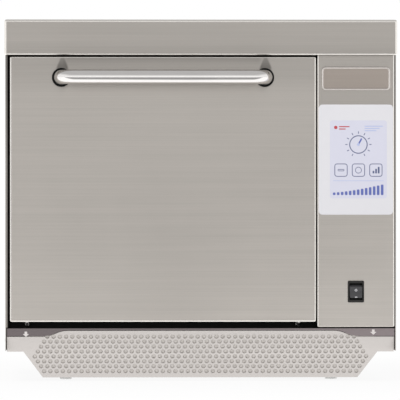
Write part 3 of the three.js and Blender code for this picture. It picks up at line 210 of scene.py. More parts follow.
def brushed_steel(name, colour, roughness=0.33, spread=0.09, painted_shade=None, drawn=0.75):
    """Stainless sheet with a fine grain, coarser lines, and faint clouds from rolling and wiping.
    Brushing spreads reflections across its lines where drawn is above 0. Bends are rubbed smoother
    and painted brighter as a highlight, and the painted-shade function gives the share of its brightness
    that a place loses to painted shade."""
    finish = Finish(name, Metallic=1.0, Anisotropic=drawn, Anisotropic_Rotation=0.25)
    place = finish.place()
    fine, coarse = grain_of(finish, place)
    cloud = finish.noise(place, 5.0, 3.0, 0.55)
    worn_and_highlit = finish.worn_and_highlit() * (0.9 + finish.noise(place, 40.0, 2.0) * 0.2)
    tone = 0.5 + (fine - 0.5) * 1.1 + (coarse - 0.5) * 0.6 + (cloud - 0.5) * 0.9
    sheet = finish.varied(colour, 1 - spread, 1 + spread, tone)
    # Painted shade: the sheet's colour is darkened towards black by the given share
    if painted_shade:
        sheet = finish.blend(sheet, (0, 0, 0, 1), painted_shade(*place.parts()))
    # Rubbed bends and rims take a brighter colour, a painted highlight, and a smoother finish
    sheet = finish.blend(sheet, RUBBED_STEEL_HIGHLIGHT, worn_and_highlit)
    rough = roughness + (fine - 0.5) * 0.12 + (cloud - 0.5) * 0.08 - worn_and_highlit * 0.12
    return finish.finished(sheet, rough, fine * 0.7 + coarse * 0.3, 0.02)


(HANDLE_LEFT, _, HANDLE_BOTTOM), (HANDLE_RIGHT, _, HANDLE_TOP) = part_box("handle_bar")
HANDLE_RADIUS = (HANDLE_TOP - HANDLE_BOTTOM) / 2
LEGS = (HANDLE_LEFT + HANDLE_RADIUS, HANDLE_RIGHT - HANDLE_RADIUS)
HOOD_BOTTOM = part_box("top_cover")[0][2]
CASE_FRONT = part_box("right_side_panel")[0][1]
CASE_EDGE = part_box("right_side_panel")[1][0]


def hem_painted_shade(x, y, z):
    """Painted shade: the hood's band is darkened towards its lower edge."""
    return (1 - z.step(HOOD_BOTTOM + 2 * MM, HOOD_BOTTOM + 24 * MM)) * 0.09


def painted_shade_under_hood(x, y, z):
    """Painted shade: the control face is darkened towards the hood."""
    return z.step(HOOD_BOTTOM - 190 * MM, HOOD_BOTTOM - 60 * MM) * 0.11


def painted_handle_shadow(x, y, z):
    """The door's painted shadow of the bar: a band above the bar between the legs, darker upwards, and
    over each leg a painted dark reflection of the leg that widens down to it. Beside the legs,
    painted shade darkens it under the hood."""
    above = z.step(HANDLE_TOP - 4 * MM, HANDLE_TOP + 5 * MM)
    between = x.step(LEGS[0], LEGS[0] + 10 * MM) * (1 - x.step(LEGS[1] - 10 * MM, LEGS[1]))
    rise = z.step(HANDLE_TOP, HANDLE_TOP + 24 * MM)
    left_streak, right_streak = (abs(x - leg - 1.5 * MM) for leg in LEGS)
    from_leg = left_streak.maths("MINIMUM", left_streak, right_streak)
    streak = 1 - (from_leg - (1 - rise) * 7 * MM).step(0, 4 * MM)
    painted_shade_beside = (1 - between) * z.step(HOOD_BOTTOM - 70 * MM, HOOD_BOTTOM - 20 * MM) * 0.14
    return above * (between * (0.14 + rise * 0.26) + streak * (0.5 - rise * 0.24)) + painted_shade_beside


def painted_shade_beside_door(x, y, z):
    """Painted shade: the left side panel's front edge is darkened, and more so towards the door and the
    hood.
    """
    front = (1 - y.step(CASE_FRONT + 2 * MM, CASE_FRONT + 5 * MM)) * (1 - x.step(-100 * MM, 100 * MM))
    upper = z.step(300 * MM, 480 * MM)
    inner = 1 - (x * -1).step(CASE_EDGE - 5.5 * MM, CASE_EDGE + 1 * MM)
    return front * (inner * (0.92 - upper * 0.22) + upper * 0.3)


def plain_steel(name, colour, roughness=0.3, spread=0.08):
    """Mill-finished sheet: faint rolling lines, clouds and a few soft wiping marks."""
    finish = Finish(name, Metallic=1.0)
    place = finish.place()
    cloud = finish.noise(place, 9.0, 4.0, 0.6)
    lines = finish.noise(place, (14.0, 14.0, 160.0), 2.0)
    marks = finish.noise(place, 60.0, 2.0).step(0.62, 0.8)
    sheet = finish.varied(colour, 1 - spread, 1 + spread, cloud * 0.7 + lines * 0.3)
    rough = roughness + (cloud - 0.5) * 0.2 + marks * 0.08
    return finish.finished(sheet, rough, cloud + lines * 0.3, 0.05)


def frame_with_painted_gap_shade(name, colour, shade, x, z):
    """The case's front frame: bare sheet where the door and the control face cover it, between those
    x and z places, and a near-black painted shade round it, where it shows in the gaps."""
    finish = Finish(name, Specular_IOR_Level=0.15)
    place = finish.place()
    across, _, up = place.parts()
    covered = 1.0
    for along, (low, high) in ((across, x), (up, z)):
        covered = along.step(low, low + 3 * MM) * (1 - along.step(high - 3 * MM, high)) * covered
    cloud = finish.noise(place, 9.0, 4.0, 0.6)
    lines = finish.noise(place, (3.0, 3.0, 300.0), 2.0)
    sheet = finish.varied(colour, 0.92, 1.08, cloud * 0.6 + lines * 0.4)
    finish.set("Metallic", covered)
    rough = 0.5 - covered * 0.14 + (cloud - 0.5) * 0.16
    # Near-black painted shade where the frame shows in the gaps, bare sheet where it is covered
    return finish.finished(finish.blend(shade, sheet, covered), rough, cloud + lines * 0.4, 0.04)


def strip_finish(name, colour, shade, depth):
    """Satin paint on sheet, made paler to the right by painted light, whose ledge, behind a depth, is a
    dark painted shade.
    """
    finish = Finish(name, Metallic=0.3, Specular_IOR_Level=0.2)
    place = finish.place()
    x, y, _ = place.parts()
    painted_ledge_shade = y.step(depth, depth + 0.4 * MM)
    cloud = finish.noise(place, 26.0, 3.0)
    lines = finish.noise(place, (3.0, 3.0, 420.0), 2.0)
    paint = finish.varied(colour, 0.94, 1.06, cloud * 0.5 + lines * 0.5)
    # Painted light: the paint is made paler towards the right
    paint = finish.blend(paint, tinted(colour, 1.55), x.step(-100 * MM, 300 * MM))
    # Painted shade on the ledge
    paint = finish.blend(paint, shade, painted_ledge_shade)
    return finish.finished(paint, 0.5 + (cloud - 0.5) * 0.2, cloud + lines, 0.02)


def polished_steel(name, colour, roughness=0.14):
    """Bright drawn or pressed steel with hairline scratches and slight hand marks."""
    finish = Finish(name, Metallic=1.0)
    place = finish.place()
    hair = finish.noise(place, (8.0, 700.0, 700.0), 2.0)
    hands = finish.noise(place, 24.0, 3.0, 0.6)
    rough = roughness + (hair - 0.5) * 0.05 + hands.step(0.5, 0.75) * 0.06
    return finish.finished(finish.varied(colour, 0.95, 1.04, hands), rough, hair, 0.003)


def moulded(name, colour, roughness=0.42, shine=0.5):
    """Moulded plastic: a fine eroded skin, a slight sheen change and a little dust tone."""
    finish = Finish(name, Metallic=0.0, Specular_IOR_Level=shine)
    place = finish.place()
    skin = finish.noise(place, 1400.0, 2.0)
    cloud = finish.noise(place, 30.0, 3.0)
    rough = roughness + (skin - 0.5) * 0.16 + (cloud - 0.5) * 0.1
    return finish.finished(finish.varied(colour, 0.9, 1.12, cloud), rough, skin, 0.02)


def cellular(name, colour, dark, count, roughness=0.75, depth=0.3, metal=0.0):
    """Rubber, castings, fibres and boards: rounded cells with darker seams over a cloudy tone."""
    finish = Finish(name, Metallic=metal)
    place = finish.place()
    cells = finish.node("ShaderNodeTexVoronoi", {}, {"Vector": place, "Scale": count})
    cloud = finish.noise(place, count / 8, 4.0, 0.65)
    tone = finish.blend(colour, dark, cloud * 0.75 + cells * 0.4 - 0.1)
    return finish.finished(tone, roughness + (cloud - 0.5) * 0.2, cells * -1 + cloud, depth)


def knitted(name, colour, dark, pitch):
    """Knitted filter wire: two slanting sets of round strands that cross."""
    finish = Finish(name, Metallic=0.0)
    place = finish.place()
    x, _, z = place.parts()
    strands = []
    for slant in (z, z * -1):
        turn = (x + slant) * (TAU / pitch)
        strands.append(abs(turn.maths("SINE", turn)))
    weave = strands[0].maths("MAXIMUM", *strands)
    shade = finish.noise(place, 90.0, 3.0)
    tone = finish.blend(dark, colour, weave * 0.8 + shade * 0.4)
    return finish.finished(tone, 0.5 + shade * 0.2, weave, 0.25)


def film(name, colour, roughness=0.22):
    """Printed plastic film with a satin face and a faint waviness from its glue."""
    finish = Finish(name, Metallic=0.0)
    place = finish.place()
    glue = finish.noise(place, 70.0, 2.0)
    tooth = finish.noise(place, 2200.0, 1.0)
    tone = finish.varied(colour, 0.985, 1.015, glue)
    return finish.finished(tone, roughness + (tooth - 0.5) * 0.12, glue + tooth * 0.1, 0.02)


# The door, control face, hood band and left side panel get painted shade from the functions above
door_steel = brushed_steel("door_steel", STEEL, painted_shade=painted_handle_shadow)
panel_steel = brushed_steel("panel_steel", STEEL, painted_shade=painted_shade_under_hood)
# Painted shade: the hood's steel is toned darker than the door's
hood_steel = brushed_steel("hood_steel", tinted(STEEL, 0.9), painted_shade=hem_painted_shade)
hood_top_steel = brushed_steel("hood_top_steel", tinted(STEEL, 0.9), 0.4, drawn=0.0)
case_steel = brushed_steel("case_steel", tinted(STEEL, 0.97), painted_shade=painted_shade_beside_door)
filter_steel = brushed_steel("filter_steel", (0.52, 0.492, 0.473, 1.0), 0.45, 0.05)
badge_steel = brushed_steel("badge_steel", rgb(170, 160, 152), 0.36, 0.06)
# The badge rim's steel is brighter than the field's: a painted highlight
badge_rim_highlight = brushed_steel("badge_rim_highlight", (0.62, 0.58, 0.55, 1.0), 0.24, 0.04)
# The hole rims are a darker steel: painted shade round the filter's holes
punched_rim_painted_shade = plain_steel("punched_rim_painted_shade", (0.36, 0.335, 0.318, 1.0), 0.5, 0.1)
screw_steel = polished_steel("screw_steel", (0.42, 0.41, 0.40, 1.0), 0.28)
duct_steel = plain_steel("duct_steel", (0.46, 0.45, 0.44, 1.0), 0.26, 0.1)
gland_plastic = moulded("gland_plastic", (0.014, 0.014, 0.015, 1.0), 0.36)
sheet_steel = plain_steel("sheet_steel", (0.42, 0.41, 0.40, 1.0))
STRIP_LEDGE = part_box("base_front_strip")[0][1] + 1.6 * MM
# The strip's ledge colour is a near-black painted shade
strip_paint = strip_finish("strip_paint", rgb(112, 104, 105), (0.006, 0.006, 0.006, 1.0), STRIP_LEDGE)
(DOOR_LEFT, _, DOOR_BOTTOM), (DOOR_RIGHT, _, DOOR_TOP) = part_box("door_skin")
COVER = 9 * MM
# The frame's second colour is a near-black painted shade for the gaps round the door
frame_sheet_and_gap_shade = frame_with_painted_gap_shade(
    "frame_sheet_and_gap_shade", (0.44, 0.42, 0.40, 1.0), (0.005, 0.0045, 0.004, 1.0),
    (DOOR_LEFT + COVER, DOOR_RIGHT + COVER), (DOOR_BOTTOM + COVER, DOOR_TOP - COVER))
heater_steel = plain_steel("heater_steel", (0.09, 0.08, 0.07, 1.0), 0.5, 0.3)
motor_steel = plain_steel("motor_steel", (0.15, 0.16, 0.17, 1.0), 0.5, 0.15)
bright_steel = polished_steel("bright_steel", (0.73, 0.71, 0.695, 1.0))
liner_steel = plain_steel("liner_steel", (0.50, 0.48, 0.46, 1.0), 0.24, 0.1)
door_liner_steel = plain_steel("door_liner_steel", (0.56, 0.54, 0.52, 1.0), 0.38, 0.07)
black_plastic = moulded("black_plastic", (0.012, 0.012, 0.013, 1.0))
collar_black = moulded("collar_black", (0.004, 0.004, 0.004, 1.0), 0.5, shine=0.12)
bezel_black = moulded("bezel_black", (0.016, 0.015, 0.014, 1.0), 0.45, shine=0.3)
rocker_plastic = moulded("rocker_plastic", (0.040, 0.039, 0.042, 1.0), 0.32)
grey_plastic = moulded("grey_plastic", rgb(120, 122, 125), 0.45)
choke_plastic = moulded("choke_plastic", rgb(218, 214, 205), 0.5)
cast_metal = cellular("cast_metal", rgb(178, 178, 180), rgb(132, 132, 135), 900.0, 0.45, 0.05, 0.9)
board_green = cellular("board_green", rgb(22, 84, 52), rgb(12, 52, 32), 260.0, 0.4, 0.05)
wool = cellular("wool", rgb(214, 200, 150), rgb(160, 142, 96), 420.0, 0.95, 0.8)
ceramic = cellular("ceramic", rgb(232, 228, 216), rgb(206, 200, 186), 700.0, 0.55, 0.04)
seal_rubber = cellular("seal_rubber", rgb(58, 58, 60), rgb(34, 34, 36), 1300.0, 0.7, 0.06)
foot_rubber = cellular("foot_rubber", rgb(34, 34, 35), rgb(18, 18, 19), 1300.0, 0.75, 0.06)
foot_nylon = moulded("foot_nylon", rgb(238, 238, 236), 0.5)
filter_wire = knitted("filter_wire", rgb(228, 222, 216), rgb(150, 145, 140), 2.2 * MM)
overlay_film = film("overlay_film", rgb(219, 218, 222))
window_film = film("window_film", rgb(210, 210, 224), 0.2)
print_blue = film("print_blue", rgb(92, 104, 172), 0.3)
print_slate = film("print_slate", rgb(84, 92, 128), 0.3)
print_red = film("print_red", rgb(186, 66, 74), 0.3)
print_pale = film("print_pale", rgb(176, 186, 220), 0.3)
print_white = film("print_white", rgb(216, 210, 208), 0.4)
rocker_print = film("rocker_print", rgb(198, 197, 200), 0.4)

NODE_FINISHES = {
    hood_steel: "top_cover",
    case_steel: "left_side_panel right_side_panel rear_panel",
    panel_steel: "control_panel",
    door_steel: "door_skin",
    door_liner_steel: "door_inner_plate",
    filter_steel: "air_filter_plate",
    filter_wire: "air_filter_mesh",
    badge_steel: "badge_plate",
    overlay_film: "touch_overlay",
    strip_paint: "base_front_strip",
    frame_sheet_and_gap_shade: "front_frame",
    sheet_steel: "base_pan intake_duct exhaust_duct hinge_bracket_left hinge_bracket_right "
                 "door_hinge_carrier_left door_hinge_carrier_right interlock_tongue_upper "
                 "interlock_tongue_lower motor_bulkhead convection_fan stirrer high_voltage_transformer",
    liner_steel: "cavity_liner fan_baffle rack_support_left rack_support_right",
    bright_steel: "handle_bar wire_rack door_hinge_pin_left door_hinge_pin_right",
    heater_steel: "heater_coil",
    motor_steel: "fan_motor",
    cast_metal: "waveguide magnetron high_voltage_capacitor",
    black_plastic: "display_module cooling_fan_housing cooling_fan_wheel cable_gland",
    collar_black: "handle_collar_left handle_collar_right",
    bezel_black: "switch_bezel",
    rocker_plastic: "switch_rocker",
    grey_plastic: "stirrer_motor interlock_switch_upper interlock_switch_lower",
    choke_plastic: "choke_cover",
    board_green: "control_board",
    ceramic: "stirrer_cover",
    wool: "insulation_wrap door_insulation",
    seal_rubber: "door_seal",
    foot_rubber: "foot_front_left foot_front_right foot_rear_left foot_rear_right",
}
for material, names in NODE_FINISHES.items():
    for name in names.split():
        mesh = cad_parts[name].data
        mesh.materials.clear()
        mesh.materials.append(material)


# Surfaces

class Shell:
    """Points and faces gathered for one piece."""

    def __init__(self):
        self.points = []
        self.wear = []
        self.faces = []
        self.count = 0

    def add(self, points, faces, wear=0.0):
        self.points.append(np.asarray(points, float).reshape(-1, 3))
        self.wear.append(np.broadcast_to(wear, len(self.points[-1])))
        self.faces.extend((np.asarray(faces) + self.count).tolist())
        self.count += len(self.points[-1])

    def grid(self, points, around=False, along=False, wear=0.0):
        """Quads between neighbouring points of a grid of rows; around joins each row's last point
        to its first, and along joins the last row to the first. The share of wear and painted
        highlight is one value, or one a row or a point."""
        rows, columns = points.shape[:2]
        index = np.arange(rows * columns).reshape(rows, columns)
        if around:
            index = np.hstack([index, index[:, :1]])
        if along:
            index = np.vstack([index, index[:1]])
        quads = np.stack([index[:-1, :-1], index[:-1, 1:], index[1:, 1:], index[1:, :-1]], -1)
        wear = np.array(wear, float, ndmin=1)
        if wear.ndim == 1:
            wear = wear[:, None]
        self.add(points, quads.reshape(-1, 4), np.broadcast_to(wear, (rows, columns)).ravel())

    def cap(self, ring):
        self.add(ring, [list(range(len(ring)))])

    def solid(self, rings, **more):
        """A run of closed rings with a cap on each end."""
        self.grid(np.array(rings), around=True, **more)
        self.cap(rings[0])
        self.cap(rings[-1])


def piece(name, shell, material, body, replaces=(), smooth=38):
    """Makes the mesh: doubles merged, faces turned outwards, edges sharper than smooth degrees kept."""
    mesh = bpy.data.meshes.new(name)
    mesh.from_pydata(np.vstack(shell.points).tolist(), [], shell.faces)
    mesh.attributes.new(WEAR_AND_HIGHLIGHT, "FLOAT", "POINT").data.foreach_set("value", np.concatenate(shell.wear))
    work = bmesh.new()
    work.from_mesh(mesh)
    bmesh.ops.remove_doubles(work, verts=work.verts, dist=0.002 * MM)
    bmesh.ops.recalc_face_normals(work, faces=work.faces)
    work.to_mesh(mesh)
    work.free()
    mesh.polygons.foreach_set("use_smooth", np.ones(len(mesh.polygons), bool))
    mesh.set_sharp_from_angle(angle=math.radians(smooth))
    mesh.materials.append(material)
    made = bpy.data.objects.new(name, mesh)
    bpy.context.scene.collection.objects.link(made)
    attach(made, body)
    if replaces:
        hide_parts(*replaces)
    return made


def rounded(x, z, radius, steps=6, breaks=()):
    """Points round a rectangle from x[0] to x[1] and z[0] to z[1], whose corners are quarter circles,
    anticlockwise from the lower edge. Breaks are more places along that edge."""
    quarter = np.linspace(0, math.pi / 2, steps + 1)
    centres = [(x[1] - radius, z[0] + radius), (x[1] - radius, z[1] - radius),
               (x[0] + radius, z[1] - radius), (x[0] + radius, z[0] + radius)]
    arcs = [np.column_stack([cx + radius * np.cos(quarter + turn), cz + radius * np.sin(quarter + turn)])
            for (cx, cz), turn in zip(centres, np.arange(-1, 3) * math.pi / 2)]
    lower = np.array([[place, z[0]] for place in breaks]).reshape(-1, 2)
    return np.vstack([lower, *arcs])


def inset(x, z, radius, by, **more):
    """The same rectangle drawn in by a distance, with its corner radius cut down to suit."""
    return rounded(wider(x, -by), wider(z, -by), max(radius - by, 0.25 * MM), **more)


def facing(ring, y):
    """A ring of (x, z) points stood up at a depth y, one for all of them or one each."""
    return np.column_stack([ring[:, 0], np.broadcast_to(y, len(ring)), ring[:, 1]])


def level(ring, z):
    """A ring of (x, y) points laid flat at a height z, one for all of them or one each."""
    return np.column_stack([ring, np.broadcast_to(z, len(ring))])


def middle_of(limits):
    return (limits[0] + limits[1]) / 2


def wider(limits, by):
    return limits[0] - by, limits[1] + by


SUPPORT = 0.4 * MM


def fold(radius, steps=5):
    """A quarter-circle bend as (inset, depth) pairs, from the flat face round to the wall. A pair
    a little further on at each end keeps the flats' shading flat."""
    turn = np.linspace(0, math.pi / 2, steps + 1)
    bend = np.column_stack([radius * (1 - np.sin(turn)), radius * (1 - np.cos(turn))])
    return [(radius + SUPPORT, 0.0), *bend.tolist(), (0.0, radius + SUPPORT)]


def worn_and_highlit_rows(bends, rows):
    """Wear and painted highlight along a folded section: full on the bend and the start of the wall, none
    on the flats.
    """
    return np.concatenate([[0.0], np.ones(bends - 1), np.zeros(rows - bends)])


def filled(loops, hollow):
    """Triangles that fill the first loop of (x, z) points, without those whose middle is hollow."""
    points = np.vstack(loops)
    edges, start = [], 0
    for loop in loops:
        index = np.arange(start, start + len(loop))
        edges += np.column_stack([index, np.roll(index, -1)]).tolist()
        start += len(loop)
    made = delaunay_2d_cdt([Vector(p) for p in points.tolist()], edges, [], 0, 1e-9)
    corners = np.array([tuple(v) for v in made[0]])
    faces = np.array([f for f in made[2] if len(f) == 3])
    middles = corners[faces].mean(1)
    keep = inside(middles, loops[0]) & ~hollow(middles)
    return corners, faces[keep]


def inside(points, loop):
    """Whether each point lies in a loop: a ray to the right crosses its edges an odd number of times."""
    (x0, z0), (x1, z1) = loop.T, np.roll(loop, -1, 0).T
    px, pz = points[:, :1], points[:, 1:]
    spans = (z0 > pz) != (z1 > pz)
    rise = np.where(z1 == z0, 1.0, z1 - z0)
    return (spans & (px < (x1 - x0) * (pz - z0) / rise + x0)).sum(1) % 2 == 1


def folded_pan(shell, x, z, y, radius, wall, corner, holes=(), breaks=(), notches=(), low_wear=1.0):
    """A sheet pan that opens to the back: a flat face, a quarter-circle bend, and a wall round it.
    Its section is carried round a rounded rectangle. Holes are (x, z, radius) rectangles through
    the face, and the wall stops short at notches, which are pairs of x places on its lower edge.
    The last argument is the share of the bend's wear and painted highlight that its lower edge gets."""
    def drawn_in(by):
        return inset(x, z, corner, by, breaks=breaks)

    bend = fold(radius)
    deep = [facing(drawn_in(by), y[0] + down) for by, down in bend]
    lower = rounded(x, z, corner, breaks=breaks)
    back = np.full(len(lower), y[1])
    for low, high in notches:
        cut = (lower[:, 1] < z[0] + 0.01 * MM) & (lower[:, 0] > low) & (lower[:, 0] < high)
        back[cut] = y[0] + radius + 0.5 * MM
    face_edge = drawn_in(radius + SUPPORT)
    deep += [facing(lower, back), facing(drawn_in(wall), back),
             facing(drawn_in(wall), y[0] + wall), facing(face_edge, y[0] + wall)]
    shares = np.where(lower[:, 1] < z[0] + corner / 2, low_wear, 1.0)
    shell.grid(np.array(deep), around=True, wear=worn_and_highlit_rows(len(bend), len(deep))[:, None] * shares)
    cuts = [rounded(*hole, 3) for hole in holes]

    def in_hole(points):
        found = np.zeros(len(points), bool)
        for loop in cuts:
            found |= inside(points, loop)
        return found

    corners, faces = filled([face_edge, *cuts], in_hole)
    for depth in (y[0], y[0] + wall):
        shell.add(facing(corners, depth), faces)
    for loop in cuts:
        shell.grid(np.array([facing(loop, y[0]), facing(loop, y[0] + wall)]), around=True)


def raised_plate(shell, x, z, y, radius, edge, dome=0.0):
    """A plate with rounded corners and a rounded front edge; its face bulges by dome in the middle,
    which falls off with the square of the distance from there. Y is (back, front)."""
    rings = [facing(rounded(x, z, radius, 8), y[0])]
    for turn in np.linspace(0, math.pi / 2, 5):
        ring = inset(x, z, radius, edge * (1 - math.cos(turn)), steps=8)
        rings.append(facing(ring, y[1] + edge * (1 - math.sin(turn))))
    reach = min(x[1] - x[0], z[1] - z[0]) / 2 - edge
    for share in np.linspace(0.03, 0.96, 12 if dome else 2):
        ring = inset(x, z, radius, edge + reach * share, steps=8)
        rings.append(facing(ring, y[1] - dome * (1 - (1 - share) ** 2)))
    shell.solid(rings)


def band(shell, outer, inner, y):
    """A flat raised ring between two outlines with as many points each. Y is (back, front)."""
    section = [facing(outer, y[0]), facing(outer, y[1]), facing(inner, y[1]), facing(inner, y[0])]
    shell.grid(np.array(section), around=True, along=True)


def slab(shell, outline, y):
    """A flat raised patch with that outline. Y is (back, front)."""
    shell.solid([facing(outline, depth) for depth in y])


def circle(centre, radius, sides=48):
    """Points round a circle, anticlockwise from its right."""
    angle = np.arange(sides) * TAU / sides
    return np.column_stack([centre[0] + radius * np.cos(angle), centre[1] + radius * np.sin(angle)])


def carried_round(profile, centre, sides):
    """The points of a profile of (radius, distance) turned about an axis: two places square to the
    axis and one along it, each with a row an angle."""
    radius, along = np.array(profile).T
    angle = np.arange(sides)[:, None] * TAU / sides
    u, v = centre[0] + radius * np.cos(angle), centre[1] + radius * np.sin(angle)
    return u, v, np.broadcast_to(along, u.shape)


def turned(shell, profile, centre, sides=64):
    """A closed profile turned about a line to the back through centre, (x, z)."""
    u, v, along = carried_round(profile, centre, sides)
    shell.grid(np.stack((u, along, v), -1), around=True, along=True)


def lathe(shell, outline, centre, sides=64, corner=0.6 * MM):
    """An outline of corners, each rounded, whose ends lie on the axis, turned about an upright line
    through centre, (x, y)."""
    profile = bent_path([(*point, 0) for point in outline], corner, 3)[:, :2]
    points = np.stack(carried_round(profile, centre, sides), -1)
    shell.grid(points.transpose(1, 0, 2), around=True)


def tube(shell, path, radius, sides=24, closed=False):
    """A circle carried along a level path: each point's circle is spanned by the upright and by the
    cross product of the path's direction and the upright."""
    path, up = np.asarray(path, float), np.array([0.0, 0.0, 1.0])
    step = np.roll(path, -1, 0) - np.roll(path, 1, 0) if closed else np.gradient(path, axis=0)
    ahead = step / np.linalg.norm(step, axis=1, keepdims=True)
    aside = np.cross(ahead, up)
    angle = np.arange(sides) * TAU / sides
    ring = (np.cos(angle)[None, :, None] * aside[:, None, :]
            + np.sin(angle)[None, :, None] * up[None, None, :])
    points = path[:, None, :] + radius * ring
    if closed:
        shell.grid(points, around=True, along=True)
    else:
        shell.solid(points)


def bent_path(corners, radius, steps=14, closed=False):
    """A path through corners in a plane, each rounded by an arc of that radius, whose points mix its
    two ends: each end counts by the sine of the angle left to the other one."""
    corners = [np.array(c, float) for c in corners]
    points = []
    count = len(corners)
    for i, corner in enumerate(corners):
        if not closed and i in (0, count - 1):
            points.append(corner)
            continue
        before, after = corners[i - 1] - corner, corners[(i + 1) % count] - corner
        before, after = before / np.linalg.norm(before), after / np.linalg.norm(after)
        half = math.acos(np.clip(before @ after, -1, 1)) / 2
        middle = corner + (before + after) / np.linalg.norm(before + after) * radius / math.sin(half)
        start = corner + before * radius / math.tan(half) - middle
        end = corner + after * radius / math.tan(half) - middle
        sweep = math.pi - 2 * half
        for share in np.linspace(0, 1, steps + 1):
            mix = math.sin((1 - share) * sweep) * start + math.sin(share * sweep) * end
            points.append(middle + mix / math.sin(sweep))
    return np.array(points)


def span(node):
    """The x, y and z limits of a CAD node."""
    low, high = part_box(node)
    return [(low[i], high[i]) for i in range(3)]


# Case

WALL = 1.2 * MM
hood_x, hood_y, hood_z = span("top_cover")
HOOD_CORNER = 3.5 * MM
HOOD_FOLD = 3.4 * MM
HOOD_HEM = 2.2 * MM
HOOD_LIP = 6 * MM
REAR_LIP = 22 * MM


def hood():
    """A shallow cover: the section of its top, bend, band and lip is carried round the case, and
    the band is cut short at the back."""
    def ring(by, height):
        plan = inset(hood_x, hood_y, HOOD_CORNER, by, steps=8)
        at = np.full(len(plan), height)
        at[plan[:, 1] > hood_y[1] - 2 * MM] += 0 if height > hood_z[0] + REAR_LIP else hood_lift
        return level(plan, at)

    hood_lift = hood_z[1] - REAR_LIP - hood_z[0]
    bend = fold(HOOD_FOLD, 7)
    rings = [ring(by, hood_z[1] - down) for by, down in bend]
    hem = [(by, hood_z[0] + up) for by, up in fold(HOOD_HEM)]
    rings += [ring(by, height) for by, height in hem[::-1]]
    rings += [ring(HOOD_LIP, hood_z[0]), ring(HOOD_LIP, hood_z[0] + WALL),
              ring(HOOD_HEM, hood_z[0] + WALL), ring(WALL, hood_z[0] + HOOD_HEM),
              ring(WALL, hood_z[1] - WALL), ring(HOOD_FOLD + SUPPORT, hood_z[1] - WALL)]
    # Wear and painted highlight on the top's bend and the hem's, and all the way up the two front corners
    wear = np.zeros(len(rings))
    wear[2:len(bend) - 1] = 1.0
    wear[len(bend) + 1:len(bend) + len(hem) - 3] = 1.0
    plan = rings[len(bend) - 1]
    corner = (abs(plan[:, 0]) > hood_x[1] - HOOD_CORNER) & (plan[:, 1] < hood_y[0] + HOOD_CORNER)
    wear = np.maximum(wear[:, None], corner * 1.0)
    shell = Shell()
    shell.solid(rings, wear=wear)
    made = piece("hood_shell", shell, hood_steel, "case", ["top_cover"])
    made.data.materials.append(hood_top_steel)
    for face in made.data.polygons:
        face.material_index = int(abs(face.normal.z) > 0.9)


hood()

panel_x, panel_y, panel_z = span("control_panel")
overlay_x, overlay_y, overlay_z = span("touch_overlay")
bezel_x, _, bezel_z = span("switch_bezel")
display_x, _, display_z = span("display_module")
PANEL_FOLD = 1.6 * MM
PANEL_CORNER = 2.2 * MM
CUT_CORNER = 1 * MM
shell = Shell()
folded_pan(
    shell, panel_x, panel_z, panel_y, PANEL_FOLD, WALL, PANEL_CORNER,
    holes=[(wider(display_x, 0.3 * MM), wider(display_z, 0.3 * MM), CUT_CORNER),
           (wider(bezel_x, -1.2 * MM), wider(bezel_z, -1.8 * MM), CUT_CORNER)], low_wear=0.1)
piece("control_face", shell, panel_steel, "case", ["control_panel"])

# Badge plate: a rounded rim round a bare, slightly domed field
badge_x, badge_y, badge_z = span("badge_plate")
BADGE_CORNER = 6.5 * MM
BADGE_RIM = 3.2 * MM
FIELD_INSET = 2.6 * MM
RIM_SECTION = [(0.05 * MM, 1.2 * MM), (0.35 * MM, 0.5 * MM), (1.0 * MM, 0.1 * MM), (1.6 * MM, 0),
               (2.2 * MM, 0.1 * MM), (2.9 * MM, 0.55 * MM), (BADGE_RIM, 1.1 * MM)]
profile = [(0.0, badge_y[1]), *((by, badge_y[0] + down) for by, down in RIM_SECTION),
           (BADGE_RIM, badge_y[1])]
shell = Shell()
shell.grid(np.array([facing(inset(badge_x, badge_z, BADGE_CORNER, by, steps=8), y) for by, y in profile]),
           around=True, along=True)
piece("badge_rim", shell, badge_rim_highlight, "case", ["badge_plate"])
shell = Shell()
raised_plate(shell, wider(badge_x, -FIELD_INSET), wider(badge_z, -FIELD_INSET),
             (badge_y[1], badge_y[0] + 0.9 * MM), 4 * MM, 0.2 * MM, 0.6 * MM)
piece("badge_field", shell, badge_steel, "case")

# Touch overlay and its plain print
FILM_FACE = overlay_y[0] + 0.25 * MM
INK = 0.08 * MM
WINDOW_FACE = FILM_FACE - INK
INK_DEPTHS = (WINDOW_FACE + INK / 2, WINDOW_FACE - INK / 2)
shell = Shell()
raised_plate(shell, overlay_x, overlay_z, (overlay_y[1], FILM_FACE), 6 * MM, 0.4 * MM)
piece("touch_film", shell, overlay_film, "case", ["touch_overlay"])


def on_film(x, z):
    """A place on the overlay, in millimetres from its lower left corner."""
    return overlay_x[0] + x * MM, overlay_z[0] + z * MM


def box_on_film(x0, x1, z0, z1):
    (left, low), (right, high) = on_film(x0, z0), on_film(x1, z1)
    return (left, right), (low, high)


def square_ring(shell, x0, x1, z0, z1, radius, width):
    x, z = box_on_film(x0, x1, z0, z1)
    band(shell, rounded(x, z, radius * MM), inset(x, z, radius * MM, width * MM), INK_DEPTHS)


def round_ring(shell, centre, outer, inner):
    centre = on_film(*centre)
    band(shell, circle(centre, outer * MM), circle(centre, inner * MM), INK_DEPTHS)


def bar(shell, x0, x1, z0, z1, radius):
    x, z = box_on_film(x0, x1, z0, z1)
    slab(shell, rounded(x, z, radius * MM, 3), INK_DEPTHS)


def spoke(shell, centre, degrees, reach, width):
    """A bar from reach[0] to reach[1] along a direction from a centre."""
    angle = math.radians(degrees)
    ahead = np.array([math.cos(angle), math.sin(angle)]) * MM
    aside = np.array([-ahead[1], ahead[0]]) * width / 2
    near, far = (np.array(on_film(*centre)) + ahead * along for along in reach)
    slab(shell, np.array([near - aside, far - aside, far + aside, near + aside]), INK_DEPTHS)


